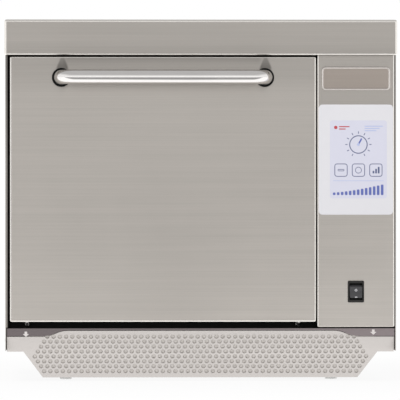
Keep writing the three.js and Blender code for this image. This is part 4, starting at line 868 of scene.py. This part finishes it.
DIAL = (60.6, 107)
KEY_LEFTS = (24, 50.6, 77.2)
shell = Shell()
slab(shell, rounded(*box_on_film(17.2, 104, 25, 143.8), 4 * MM), (FILM_FACE + INK, WINDOW_FACE))
piece("print_window", shell, window_film, "case")

# In slate: the dial's ring and its marks, and three keys with a bar, a ring and steps
slate = Shell()
round_ring(slate, DIAL, 14, 12.6)
for i in range(11):
    spoke(slate, DIAL, i * 30 - 60, (16.6, 20), 1.2)
for left in KEY_LEFTS:
    square_ring(slate, left, left + 20, 58, 78, 4, 1.1)
square_ring(slate, 29, 39, 66.4, 69.6, 1.4, 0.9)
round_ring(slate, (60.6, 68), 5, 4.1)
for i, tall in enumerate((4, 7, 10)):
    bar(slate, 82.2 + i * 4, 84.8 + i * 4, 63, 63 + tall, 0.6)
piece("print_slate_marks", slate, print_slate, "case")

# In blue: a row of thirteen bars, each taller than the last, and the dial's hand
blue = Shell()
for i in range(13):
    height = 4 + 12 * (i / 12) ** 1.4
    bar(blue, 21.6 + i * 6.1, 25.6 + i * 6.1, 30, 30 + height, 1.2)
spoke(blue, DIAL, 62, (2, 10.4), 2.4)
piece("print_blue_marks", blue, print_blue, "case")

# In red: a dot with two short lines beside it
red = Shell()
slab(red, circle(on_film(26, 133), 2.6 * MM), INK_DEPTHS)
for i in range(2):
    bar(red, 31, 47 - i * 6, 133.4 - i * 3.6, 135 - i * 3.6, 0.4)
piece("print_red_marks", red, print_red, "case")

# In pale blue: three short lines, a long one, and the dial's hub
pale = Shell()
for i in range(3):
    bar(pale, 70, 98 - i * 5, 134.2 - i * 3.4, 135.6 - i * 3.4, 0.5)
bar(pale, 22, 99, 51.4, 52.2, 0.3)
slab(pale, circle(on_film(*DIAL), 2.2 * MM), (INK_DEPTHS[0], INK_DEPTHS[1] - 0.02 * MM))
piece("print_pale_marks", pale, print_pale, "case")

# Rocker switch: its paddle, and a mark on each of its slopes
rocker_x = span("switch_rocker")[0]
ROCKER_PIVOT = np.array([middle_of(rocker_x), -265.5 * MM, middle_of(bezel_z)])
ROCKER_TILT = math.radians(8)
ROCKER_FACE = 6.2 * MM
ROCKER_HALF = 11.3 * MM
ROCKER_CREST = 6.3 * MM
ROCKER_SLOPE = 3.5 * MM
ROCKER_BACK = 3.5 * MM
ROCKER_EDGE = 0.9 * MM
ROCKER_NARROWING = 0.05


def on_rocker(points):
    """Points given as (across, in, up) from the pivot, turned back by the rocker's tilt."""
    cos, sin = math.cos(ROCKER_TILT), math.sin(ROCKER_TILT)
    x, y, z = np.asarray(points, float).reshape(-1, 3).T
    return ROCKER_PIVOT + np.column_stack([x, y * cos + z * sin, z * cos - y * sin])


def rocker_paddle():
    """Its outline from the side is a shallow V, whose top end slopes back, with each corner rounded.
    Carried across, it is drawn in at both ends by a quarter circle, and its face narrows downwards."""
    lean = math.tan(ROCKER_TILT)
    crest = -ROCKER_FACE - ROCKER_CREST * lean
    corners = [(-ROCKER_FACE - ROCKER_HALF * lean, -ROCKER_HALF), (-ROCKER_FACE, 0), (crest, ROCKER_CREST),
               (crest + ROCKER_SLOPE, ROCKER_CREST + ROCKER_SLOPE),
               (ROCKER_BACK, ROCKER_HALF / 2), (ROCKER_BACK, -ROCKER_HALF / 2)]
    outline = bent_path([(*corner, 0) for corner in corners], ROCKER_EDGE, 4, closed=True)[:, :2]
    middle = outline.mean(0)
    flat = (rocker_x[1] - rocker_x[0]) / 2 - ROCKER_EDGE
    ends = [(flat + ROCKER_EDGE * math.sin(turn), 1 - (1 - math.cos(turn)) * ROCKER_EDGE / (5 * MM))
            for turn in np.linspace(math.pi / 2, 0, 5)]
    places = [(-x, share) for x, share in ends] + [(x, share) for x, share in ends[::-1]]
    rings = []
    for x, share in places:
        ring = middle + (outline - middle) * share
        fall = np.clip((ROCKER_CREST - ring[:, 1]) / (ROCKER_CREST + ROCKER_HALF), 0, 1)
        rings.append(on_rocker(np.column_stack([x * (1 - ROCKER_NARROWING * fall), ring])))
    shell = Shell()
    shell.solid(rings)
    piece("rocker_paddle", shell, rocker_plastic, "power_rocker", ["switch_rocker"])


def rocker_marks():
    """A ring on the upper slope and a short bar low on the lower one, each laid 0.1 mm proud."""
    shell = Shell()
    depths = (0.05 * MM, -0.1 * MM)
    ring_centre = (0, 1.3 * MM)
    band(shell, circle(ring_centre, 2.0 * MM, 32), circle(ring_centre, 1.0 * MM, 32), depths)
    slab(shell, rounded((-2.0 * MM, 2.0 * MM), (-10.2 * MM, -8.8 * MM), 0.6 * MM, 3), depths)
    for points in shell.points:
        points[:, 1] -= ROCKER_FACE + abs(points[:, 2]) * math.tan(ROCKER_TILT)
        points[:] = on_rocker(points)
    piece("rocker_marks", shell, rocker_print, "power_rocker")


rocker_paddle()
rocker_marks()

# Arrows on the strip under the door
_, strip_y, strip_z = span("base_front_strip")
ARROWS = ((-266.3 * MM, 72.3 * MM), (262.9 * MM, 75.2 * MM))
HEAD_HALF = 4.8
STEM_HALF = 2.0
ARROW = np.array([[0, -4.0], [HEAD_HALF, 0.3], [STEM_HALF, 0.3], [STEM_HALF, 4.0],
                  [-STEM_HALF, 4.0], [-STEM_HALF, 0.3], [-HEAD_HALF, 0.3]])
shell = Shell()
for place in ARROWS:
    slab(shell, ARROW * MM + place, (strip_y[0] + 0.02 * MM, strip_y[0] - 0.15 * MM))
piece("strip_arrows", shell, print_white, "case")


# Door

door_x, door_y, door_z = span("door_skin")
DOOR_FOLD = 1.8 * MM
DOOR_CORNER = 2.4 * MM
NUDGE = 0.02 * MM
notches = [wider(span(f"door_hinge_carrier_{side}")[0], 0.7 * MM) for side in ("left", "right")]
breaks = sorted(x + nudge for pair in notches for x in pair for nudge in (-NUDGE, NUDGE))
shell = Shell()
folded_pan(shell, door_x, door_z, door_y, DOOR_FOLD, WALL, DOOR_CORNER, breaks=breaks, notches=notches)
piece("door_face", shell, door_steel, "door", ["door_skin"])

handle_y = span("handle_bar")[1]
handle_z = (HANDLE_BOTTOM + HANDLE_TOP) / 2
bar_y = handle_y[0] + HANDLE_RADIUS
HANDLE_BEND = 19 * MM
TUBE_SHARE = 0.999
bar_corners = [(LEGS[0], handle_y[1], handle_z), (LEGS[0], bar_y, handle_z),
               (LEGS[1], bar_y, handle_z), (LEGS[1], handle_y[1], handle_z)]
shell = Shell()
tube(shell, bent_path(bar_corners, HANDLE_BEND, 18), HANDLE_RADIUS * TUBE_SHARE, 48)
piece("handle_tube", shell, bright_steel, "door", ["handle_bar"])
for side, x in (("left", LEGS[0]), ("right", LEGS[1])):
    collar_x, (front, back), _ = span(f"handle_collar_{side}")
    outer = (collar_x[1] - collar_x[0]) / 2
    bore = HANDLE_RADIUS + 0.25 * MM
    shell = Shell()
    turned(shell, [(bore, back), (bore, front + 0.6 * MM), (bore + 0.5 * MM, front),
                   (outer - 0.9 * MM, front), (outer - 0.3 * MM, front + 0.3 * MM),
                   (outer, front + 1.0 * MM), (outer, back)], (x, handle_z))
    piece(f"handle_washer_{side}", shell, collar_black, "door", [f"handle_collar_{side}"])


# Air filter

plate_x, plate_y, plate_z = span("air_filter_plate")
HOLE_PITCH = 9.54 * MM
HOLE_RADIUS = 3.45 * MM
HOLE_SIDES = 14
RIM_RADIUS = 2.75 * MM
HOLE_RIM = ((HOLE_RADIUS, 0.55 * MM), (RIM_RADIUS, 0.75 * MM), (RIM_RADIUS, 1.15 * MM),
            (HOLE_RADIUS, 1.15 * MM))
ROW_COUNTS = (50, 51, 52, 53, 54, 53, 52, 51)
FIRST_ROW = 9.8 * MM
PLATE_SHEET = 1.2 * MM
SHOULDER_GAP = 0.5 * MM
TAB_HEIGHT = 23 * MM
TAB_INSET = 25 * MM
FOOT_INSET = 54.6 * MM
CURVE_INSETS = (53.2 * MM, 93.9 * MM)


def lean_of(depth, height, sheet):
    """The lean of a flat sheet from its box: its depth is height's sine and sheet's cosine share,
    and its height the reverse, so the angle is found by putting it back in a few times."""
    lean = 0.0
    for _ in range(8):
        lean = math.atan2(depth - sheet * math.cos(lean), height - sheet * math.sin(lean))
    return lean


LEAN = lean_of(plate_y[1] - plate_y[0], plate_z[1] - plate_z[0], PLATE_SHEET)


def s_curve(outer, inner, low, high, steps=14):
    """A rise from (outer, low) to (inner, high) on a cubic curve that starts and ends level."""
    t = np.linspace(0, 1, steps + 1)[:, None]
    middle = (outer + inner) / 2
    a, b, c, d = (np.array(p) for p in ((outer, low), (middle, low), (middle, high), (inner, high)))
    return (1 - t) ** 3 * a + 3 * t * (1 - t) ** 2 * b + 3 * t ** 2 * (1 - t) * c + t ** 3 * d


def leant(points, depth):
    """Points in the plate's own plane, so deep behind its front, stood on its slope."""
    top = np.array([0, plate_y[0], plate_z[1] - PLATE_SHEET * math.sin(LEAN)])
    down = np.array([0, -math.sin(LEAN), math.cos(LEAN)])
    inward = np.array([0, math.cos(LEAN), math.sin(LEAN)])
    return top + inward * depth + points[:, :1] * [1, 0, 0] + points[:, 1:] * down


def filter_plate():
    """A flat sheet cut to the plate's outline, with eight staggered rows of round holes, drawn in
    its own plane as (x, distance down the slope) and then leant back."""
    half = plate_x[1]
    shoulder_z = strip_z[0] - SHOULDER_GAP
    foot_z = plate_z[0] + PLATE_SHEET * math.sin(LEAN)
    shoulder, tab, foot = ((z - plate_z[1]) / math.cos(LEAN)
                           for z in (shoulder_z, shoulder_z - TAB_HEIGHT, foot_z))
    right = s_curve(half - CURVE_INSETS[0], half - CURVE_INSETS[1], shoulder, 0)
    side = np.array([[half - FOOT_INSET, foot], [half - TAB_INSET, tab], [half, tab], [half, shoulder]])
    outline = np.vstack([side, right])
    outline = np.vstack([outline, outline[::-1] * [-1, 1]])
    drop = HOLE_PITCH * math.sin(math.pi / 3)
    centres = np.array([[(i - (count - 1) / 2) * HOLE_PITCH, -FIRST_ROW - row * drop]
                        for row, count in enumerate(ROW_COUNTS) for i in range(count)])
    holes = [circle(c, HOLE_RADIUS, HOLE_SIDES) for c in centres]
    step = TAU / HOLE_SIDES

    def hollow(points):
        """Whether each point is nearer to its nearest hole's middle than that side of the hole is."""
        away = points[:, None, :] - centres[None]
        nearest = np.argmin((away ** 2).sum(-1), 1)
        across, up = away[np.arange(len(points)), nearest].T
        angle = np.mod(np.arctan2(up, across), step) - step / 2
        return np.hypot(across, up) * np.cos(angle) < HOLE_RADIUS * math.cos(step / 2)

    corners, faces = filled([outline, *holes], hollow)
    shell = Shell()
    for depth in (0.0, PLATE_SHEET):
        shell.add(leant(corners, depth), faces)
    # Walls between the two faces stand on the edges that only one triangle has
    pairs = np.sort(np.vstack([faces[:, [0, 1]], faces[:, [1, 2]], faces[:, [2, 0]]]), 1)
    found, times = np.unique(pairs, axis=0, return_counts=True)
    rim = found[times == 1]
    offset = len(corners)
    shell.faces += np.hstack([rim, rim[:, ::-1] + offset]).tolist()
    piece("filter_screen", shell, filter_steel, "air_filter", ["air_filter_plate"], 30)
    # Hole rims in a darker steel, which is painted shade in the holes
    rims = Shell()
    for centre in centres:
        rings = [leant(circle(centre, radius, HOLE_SIDES), depth) for radius, depth in HOLE_RIM]
        rims.grid(np.array(rings), around=True, along=True)
    piece("filter_hole_rims", rims, punched_rim_painted_shade, "air_filter")


filter_plate()


# Feet, rear fittings, rack and screws

# Feet: a rubber pad on a nylon glide, and a threaded stud
FOOT_PAD_TOP = 12 * MM
FOOT_GLIDE = 9 * MM
GLIDE_HEIGHT = 3.4 * MM
GLIDE_HOLLOW = 0.8 * MM
FOOT_NECK = 13 * MM
FOOT_STEM = 5 * MM
STEM_LENGTH = 16 * MM
THREAD_STEP = 0.6 * MM
THREAD_DEPTH = 0.5 * MM
for end in ("front_left", "front_right", "rear_left", "rear_right"):
    foot_x, foot_y, foot_z = span(f"foot_{end}")
    foot_centre = (middle_of(foot_x), middle_of(foot_y))
    pad = (foot_x[1] - foot_x[0]) / 2
    neck_top = foot_z[1] - STEM_LENGTH
    shell = Shell()
    lathe(shell, [(0, GLIDE_HEIGHT), (FOOT_GLIDE, GLIDE_HEIGHT), (pad, GLIDE_HEIGHT + 1 * MM),
                  (pad, FOOT_PAD_TOP - 4 * MM), (pad - 2 * MM, FOOT_PAD_TOP),
                  (FOOT_NECK + 2 * MM, FOOT_PAD_TOP), (FOOT_NECK, FOOT_PAD_TOP + 3 * MM),
                  (FOOT_NECK, neck_top), (0, neck_top)], foot_centre)
    piece(f"foot_pad_{end}", shell, foot_rubber, "case", [f"foot_{end}"])
    glide_top = GLIDE_HEIGHT + 0.2 * MM
    shell = Shell()
    lathe(shell, [(0, GLIDE_HOLLOW), (FOOT_GLIDE - 3 * MM, GLIDE_HOLLOW), (FOOT_GLIDE - 2 * MM, 0),
                  (FOOT_GLIDE, 0), (FOOT_GLIDE, glide_top), (0, glide_top)],
          foot_centre, corner=0.3 * MM)
    piece(f"foot_glide_{end}", shell, foot_nylon, "case")
    threads = [(FOOT_STEM - i % 2 * THREAD_DEPTH, neck_top + i * THREAD_STEP) for i in range(26)]
    stem_foot = neck_top - 2 * MM
    shell = Shell()
    lathe(shell, [(0, stem_foot), (FOOT_STEM, stem_foot), *threads, (0, foot_z[1] - 0.4 * MM)],
          foot_centre, sides=24, corner=0.05 * MM)
    piece(f"foot_stud_{end}", shell, screw_steel, "case")

# Exhaust pipe: a tube with a beaded end, and a flange against the rear panel
duct_x, duct_y, duct_z = span("exhaust_duct")
duct_centre = (middle_of(duct_x), middle_of(duct_z))
rear_face = span("rear_panel")[1][1]
DUCT_RADIUS = 20 * MM
DUCT_BORE = 19 * MM
FLANGE_RADIUS = (duct_x[1] - duct_x[0]) / 2
FLANGE_FRONT = rear_face + 0.3 * MM
FLANGE_BACK = FLANGE_FRONT + WALL
pipe_end = duct_y[1]
shell = Shell()
turned(shell, [(DUCT_BORE, duct_y[0]), (DUCT_RADIUS, duct_y[0]), (DUCT_RADIUS, FLANGE_FRONT),
               (FLANGE_RADIUS - 0.5 * MM, FLANGE_FRONT), (FLANGE_RADIUS, FLANGE_FRONT + 0.4 * MM),
               (FLANGE_RADIUS, FLANGE_BACK - 0.4 * MM), (FLANGE_RADIUS - 0.5 * MM, FLANGE_BACK),
               (DUCT_RADIUS + 1.6 * MM, FLANGE_BACK), (DUCT_RADIUS + 0.5 * MM, FLANGE_BACK + 0.4 * MM),
               (DUCT_RADIUS, FLANGE_BACK + 1.6 * MM), (DUCT_RADIUS, pipe_end - 2.4 * MM),
               (DUCT_RADIUS + 0.7 * MM, pipe_end - 1.9 * MM), (DUCT_RADIUS + 0.9 * MM, pipe_end - 1.1 * MM),
               (DUCT_RADIUS + 0.6 * MM, pipe_end - 0.3 * MM), (DUCT_RADIUS, pipe_end),
               (DUCT_BORE + 0.3 * MM, pipe_end - 0.2 * MM), (DUCT_BORE, pipe_end - 0.8 * MM)],
       duct_centre, sides=96)
piece("exhaust_pipe", shell, duct_steel, "case", ["exhaust_duct"])

# Cable gland
gland_x, gland_y, gland_z = span("cable_gland")
gland_centre = (middle_of(gland_x), middle_of(gland_z))
NUT_RADIUS = 14 * MM
NUT_BACK = FLANGE_FRONT + 6 * MM
GLAND_BORE = 5 * MM
GLAND_NECK = 9.7 * MM
DOME_RADIUS = 11.5 * MM
DOME_END = 8.4 * MM
FLUTES = 18
FLUTE_SHARE = 0.035


def gland():
    """A six-sided nut with its corners chamfered, and a dome with shallow flutes: its radius is cut
    by a share that goes as the cosine of eighteen turns around it, and fades out towards its end."""
    shell = Shell()
    nut = [(GLAND_BORE, FLANGE_FRONT), (NUT_RADIUS * 0.95, FLANGE_FRONT),
           (NUT_RADIUS, FLANGE_FRONT + 0.8 * MM), (NUT_RADIUS, NUT_BACK - 0.9 * MM),
           (NUT_RADIUS * 0.94, NUT_BACK), (GLAND_BORE, NUT_BACK)]
    shell.grid(np.array([facing(circle(gland_centre, radius, 6), y) for radius, y in nut]),
               around=True, along=True)
    gland_end = gland_y[1]
    rings = [(GLAND_BORE, gland_y[0], 0), (GLAND_NECK, gland_y[0], 0),
             (GLAND_NECK, NUT_BACK - 0.2 * MM, 0), (DOME_RADIUS, NUT_BACK - 0.2 * MM, 0.2)]
    for t in np.linspace(0, 1, 14):
        bulge = math.cos(t * math.pi / 2) ** 0.6 if t < 1 else 0
        rings.append((DOME_END + (DOME_RADIUS - DOME_END) * bulge,
                      NUT_BACK + (gland_end - NUT_BACK) * t, 1 - t))
    rings += [(GLAND_BORE + 0.6 * MM, gland_end, 0), (GLAND_BORE, gland_end - 0.6 * MM, 0)]
    angle = np.arange(144) * TAU / 144
    points = []
    for radius, y, flute in rings:
        around = radius * (1 - FLUTE_SHARE * flute * (1 + np.cos(FLUTES * angle)) / 2)
        ring = np.column_stack([around * np.cos(angle), around * np.sin(angle)])
        points.append(facing(ring + gland_centre, y))
    shell.grid(np.array(points), around=True, along=True)
    piece("gland_nut_and_dome", shell, gland_plastic, "case", ["cable_gland"])


gland()

# Wire rack: a frame rod with cross rods on it
rack_x, rack_y, rack_z = span("wire_rack")
FRAME_ROD = 2.5 * MM
CROSS_ROD = 1.5 * MM
ROD_COUNT = 9
rod_z = rack_z[0] + FRAME_ROD
rack_left, rack_right = wider(rack_x, -FRAME_ROD)
rack_front, rack_back = wider(rack_y, -FRAME_ROD)
corners = [(rack_left, rack_front, rod_z), (rack_right, rack_front, rod_z),
           (rack_right, rack_back, rod_z), (rack_left, rack_back, rod_z)]
shell = Shell()
tube(shell, bent_path(corners, 9 * MM, 10, closed=True), FRAME_ROD, 24, closed=True)
for x in np.linspace(rack_left, rack_right, ROD_COUNT + 2)[1:-1]:
    tube(shell, [(x, rack_front - FRAME_ROD * 0.6, rod_z + FRAME_ROD / 2),
                 (x, rack_back + FRAME_ROD * 0.6, rod_z + FRAME_ROD / 2)], CROSS_ROD, 18)
piece("rack_rods", shell, bright_steel, "rack", ["wire_rack"])

# Screw heads on the rear panel, the hood's rear band, the flange and the side panels
SCREW_RADIUS = 3.4 * MM
SCREW_RISE = 1.1 * MM
SCREW_SLOT = 0.55 * MM
SLOT_REACH = 2.1 * MM
SCREW_SIDES = 48
REAR_COLUMNS = np.linspace(-278, 278, 5) * MM
REAR_ROW = 56 * MM
REAR_EDGES = (-289 * MM, 289 * MM)
REAR_EDGE_HEIGHTS = (200 * MM, 360 * MM)
SIDE_DEPTHS = (-200 * MM, 20 * MM, 260 * MM)
SIDE_ROW = 62 * MM


def screw_head(shell, place, axis=1, out=1):
    """A low dome with a cross recess: its height falls with the square of the distance from its
    middle, and drops by three quarters of its rise in two crossed slots."""
    radii = np.concatenate([[0.01 * MM], np.linspace(0.3 * MM, SCREW_RADIUS, 14), [SCREW_RADIUS * 1.02]])
    radii = radii[:, None]
    angle = np.arange(SCREW_SIDES) * TAU / SCREW_SIDES
    across, up = radii * np.cos(angle), radii * np.sin(angle)
    slots = ((abs(across) < SCREW_SLOT) | (abs(up) < SCREW_SLOT)) & (radii < SLOT_REACH)
    height = SCREW_RISE * (1 - 0.7 * (radii / SCREW_RADIUS) ** 2 - 0.75 * slots)
    height[-1] = -0.2 * MM
    along = place[axis] + out * height
    if axis == 1:
        points = np.stack([place[0] + across, along, place[2] + up], -1)
    else:
        points = np.stack([along, place[1] + across, place[2] + up], -1)
    shell.solid(points)


screws = Shell()
for x in REAR_COLUMNS:
    screw_head(screws, (x, rear_face, REAR_ROW))
    screw_head(screws, (x, hood_y[1], hood_z[1] - REAR_LIP / 2))
for z in REAR_EDGE_HEIGHTS:
    for x in REAR_EDGES:
        screw_head(screws, (x, rear_face, z))
for x, z in circle((0, 0), (DUCT_RADIUS + FLANGE_RADIUS) / 2, 3):
    screw_head(screws, (duct_centre[0] - z, FLANGE_BACK, duct_centre[1] + x))
left_face, right_face = span("left_side_panel")[0][0], span("right_side_panel")[0][1]
for y in SIDE_DEPTHS:
    screw_head(screws, (left_face, y, SIDE_ROW), 0, -1)
    screw_head(screws, (right_face, y, SIDE_ROW), 0)
piece("screw_heads", screws, screw_steel, "case", smooth=50)


# Studio

# Camera: the width that it sees at its aim, its distance and its turn to the left
SENSOR = 36.0
FRONT_WIDTH = 0.6088
DISTANCE = 8.0
TURN = math.radians(1.7)
AIM = Vector((-0.0014, -0.2685, 0.2765))
camera = bpy.data.objects.new("camera", bpy.data.cameras.new("camera"))
bpy.context.scene.collection.objects.link(camera)
camera.data.sensor_width = SENSOR
camera.data.lens = SENSOR * DISTANCE / FRONT_WIDTH
camera.location = AIM + DISTANCE * Vector((-math.sin(TURN), -math.cos(TURN), 0))
camera.rotation_mode = "QUATERNION"
camera.rotation_quaternion = (AIM - camera.location).to_track_quat("-Z", "Y")
camera.data.clip_end = 100
bpy.context.scene.camera = camera
bpy.context.scene.view_settings.view_transform = "Standard"

# Light in the room, and its limits as shares of a direction's length
SIDE_LIGHT = 1.12
WALL_LIGHT = 0.6
WINDOW_LIGHT = 0.8
CEILING_LIGHT = 0.62
DULL_LIGHT = 0.8
WALL_EDGE = (0.45, 0.85)
CEILING_EDGE = (0.35, 0.7)
WINDOW_RISE = 0.09
WINDOW_TOP = 0.3
WINDOW_SPREAD = 0.016
UPPER_SPREAD = 0.05


def studio_world():
    """White to the camera. Metal sees bright sides, a dimmer ceiling and, in front of the oven, a dim
    wall with a window band a little over the level: the band's light falls off exponentially with
    the square of the height from its middle, and more slowly upwards. Dull surfaces get an even
    light."""
    world = bpy.data.worlds.new("studio")
    bpy.context.scene.world = world
    room = Finish("studio", world)
    _, y, z = room.node("ShaderNodeTexCoord", {}, {}, "Generated").parts()
    path = room.node("ShaderNodeLightPath", {}, {}).socket.node
    camera_ray, glossy_ray, clear_ray = (
        Level(room, path.outputs[f"Is {kind} Ray"]) for kind in ("Camera", "Glossy", "Transmission"))
    ahead = (y * -1).step(*WALL_EDGE)
    over = z - WINDOW_RISE
    spread = z.step(WINDOW_RISE, WINDOW_TOP) * UPPER_SPREAD + WINDOW_SPREAD
    wall = WALL_LIGHT + math.e ** (over * over / spread * -1) * WINDOW_LIGHT
    room_light = SIDE_LIGHT + (wall - SIDE_LIGHT) * ahead
    glossy = room_light + (CEILING_LIGHT - room_light) * z.step(*CEILING_EDGE)
    seen = camera_ray.maths("MAXIMUM", camera_ray, clear_ray)
    strength = (glossy_ray * glossy + (1 - glossy_ray) * DULL_LIGHT) * (1 - seen) + seen
    shade = room.node("ShaderNodeBackground", {}, {"Color": (1, 1, 1, 1), "Strength": strength})
    room.end(shade.socket, "ShaderNodeOutputWorld")


FLOOR_RADII = (0.01, 0.5, 1, 2, 4, 8)
FLOOR_GLOW = 0.9
SHADOW_EDGE = (0.2, 1.4)
TABLE_LIGHT = 1.4
TABLE_DROP = 0.98
TABLE_EDGE = (0.55, 0.85)
FAR_EDGE = (2.0, 4.5)


def studio_floor():
    """A round white floor that keeps the shadow near the oven and is plain white further out, by the
    square of the distance. Metal sees a bright table that ends in front of the oven, a dim stretch
    past it, and a bright floor again far off."""
    shell = Shell()
    rings = np.array([level(circle((0, 0), radius, 64), 0) for radius in FLOOR_RADII])
    shell.grid(rings, around=True)
    shell.cap(rings[0])
    mesh = bpy.data.meshes.new("floor")
    mesh.from_pydata(np.vstack(shell.points).tolist(), [], shell.faces)
    floor = bpy.data.objects.new("floor", mesh)
    bpy.context.scene.collection.objects.link(floor)
    finish = Finish("floor_white", Base_Color=(0.9, 0.9, 0.9, 1), Roughness=0.9)
    x, y, _ = finish.place().parts()
    away = (x * x + y * y).step(*SHADOW_EDGE)
    glossy_ray = finish.node("ShaderNodeLightPath", {}, {}, "Is Glossy Ray")
    front = (y * -1 - abs(x) * 0.5).step(*TABLE_EDGE)
    near = 1 - (y * -1).step(*FAR_EDGE)
    strength = 1 - glossy_ray + glossy_ray * (TABLE_LIGHT - front * near * TABLE_DROP)
    glow = finish.node("ShaderNodeEmission", {}, {"Color": (1, 1, 1, 1), "Strength": strength})
    share = FLOOR_GLOW + away * (1 - FLOOR_GLOW)
    mix = finish.node("ShaderNodeMixShader", {}, {0: share + (1 - share) * glossy_ray, 2: glow})
    finish.tree.links.new(finish.shader.outputs[0], mix.socket.node.inputs[1])
    finish.tree.links.new(mix.socket, finish.tree.nodes["Material Output"].inputs[0])
    mesh.materials.append(finish.block)


LAMP_PLACE = Vector((-1.4, -2.6, 2.6))
LAMP_AIM = Vector((0, 0, 0.25))
LAMP_SIZE = 1.6
LAMP_POWER = 40


def studio_lamp():
    """A soft lamp high on the left in front of the oven, which metal doesn't reflect."""
    light = bpy.data.lights.new("key", "AREA")
    light.shape = "SQUARE"
    light.size = LAMP_SIZE
    light.energy = LAMP_POWER
    made = bpy.data.objects.new("key", light)
    bpy.context.scene.collection.objects.link(made)
    made.location = LAMP_PLACE
    made.rotation_euler = (LAMP_AIM - LAMP_PLACE).to_track_quat("-Z", "Y").to_euler()
    made.visible_camera = False
    made.visible_glossy = False


studio_world()
studio_floor()
studio_lamp()
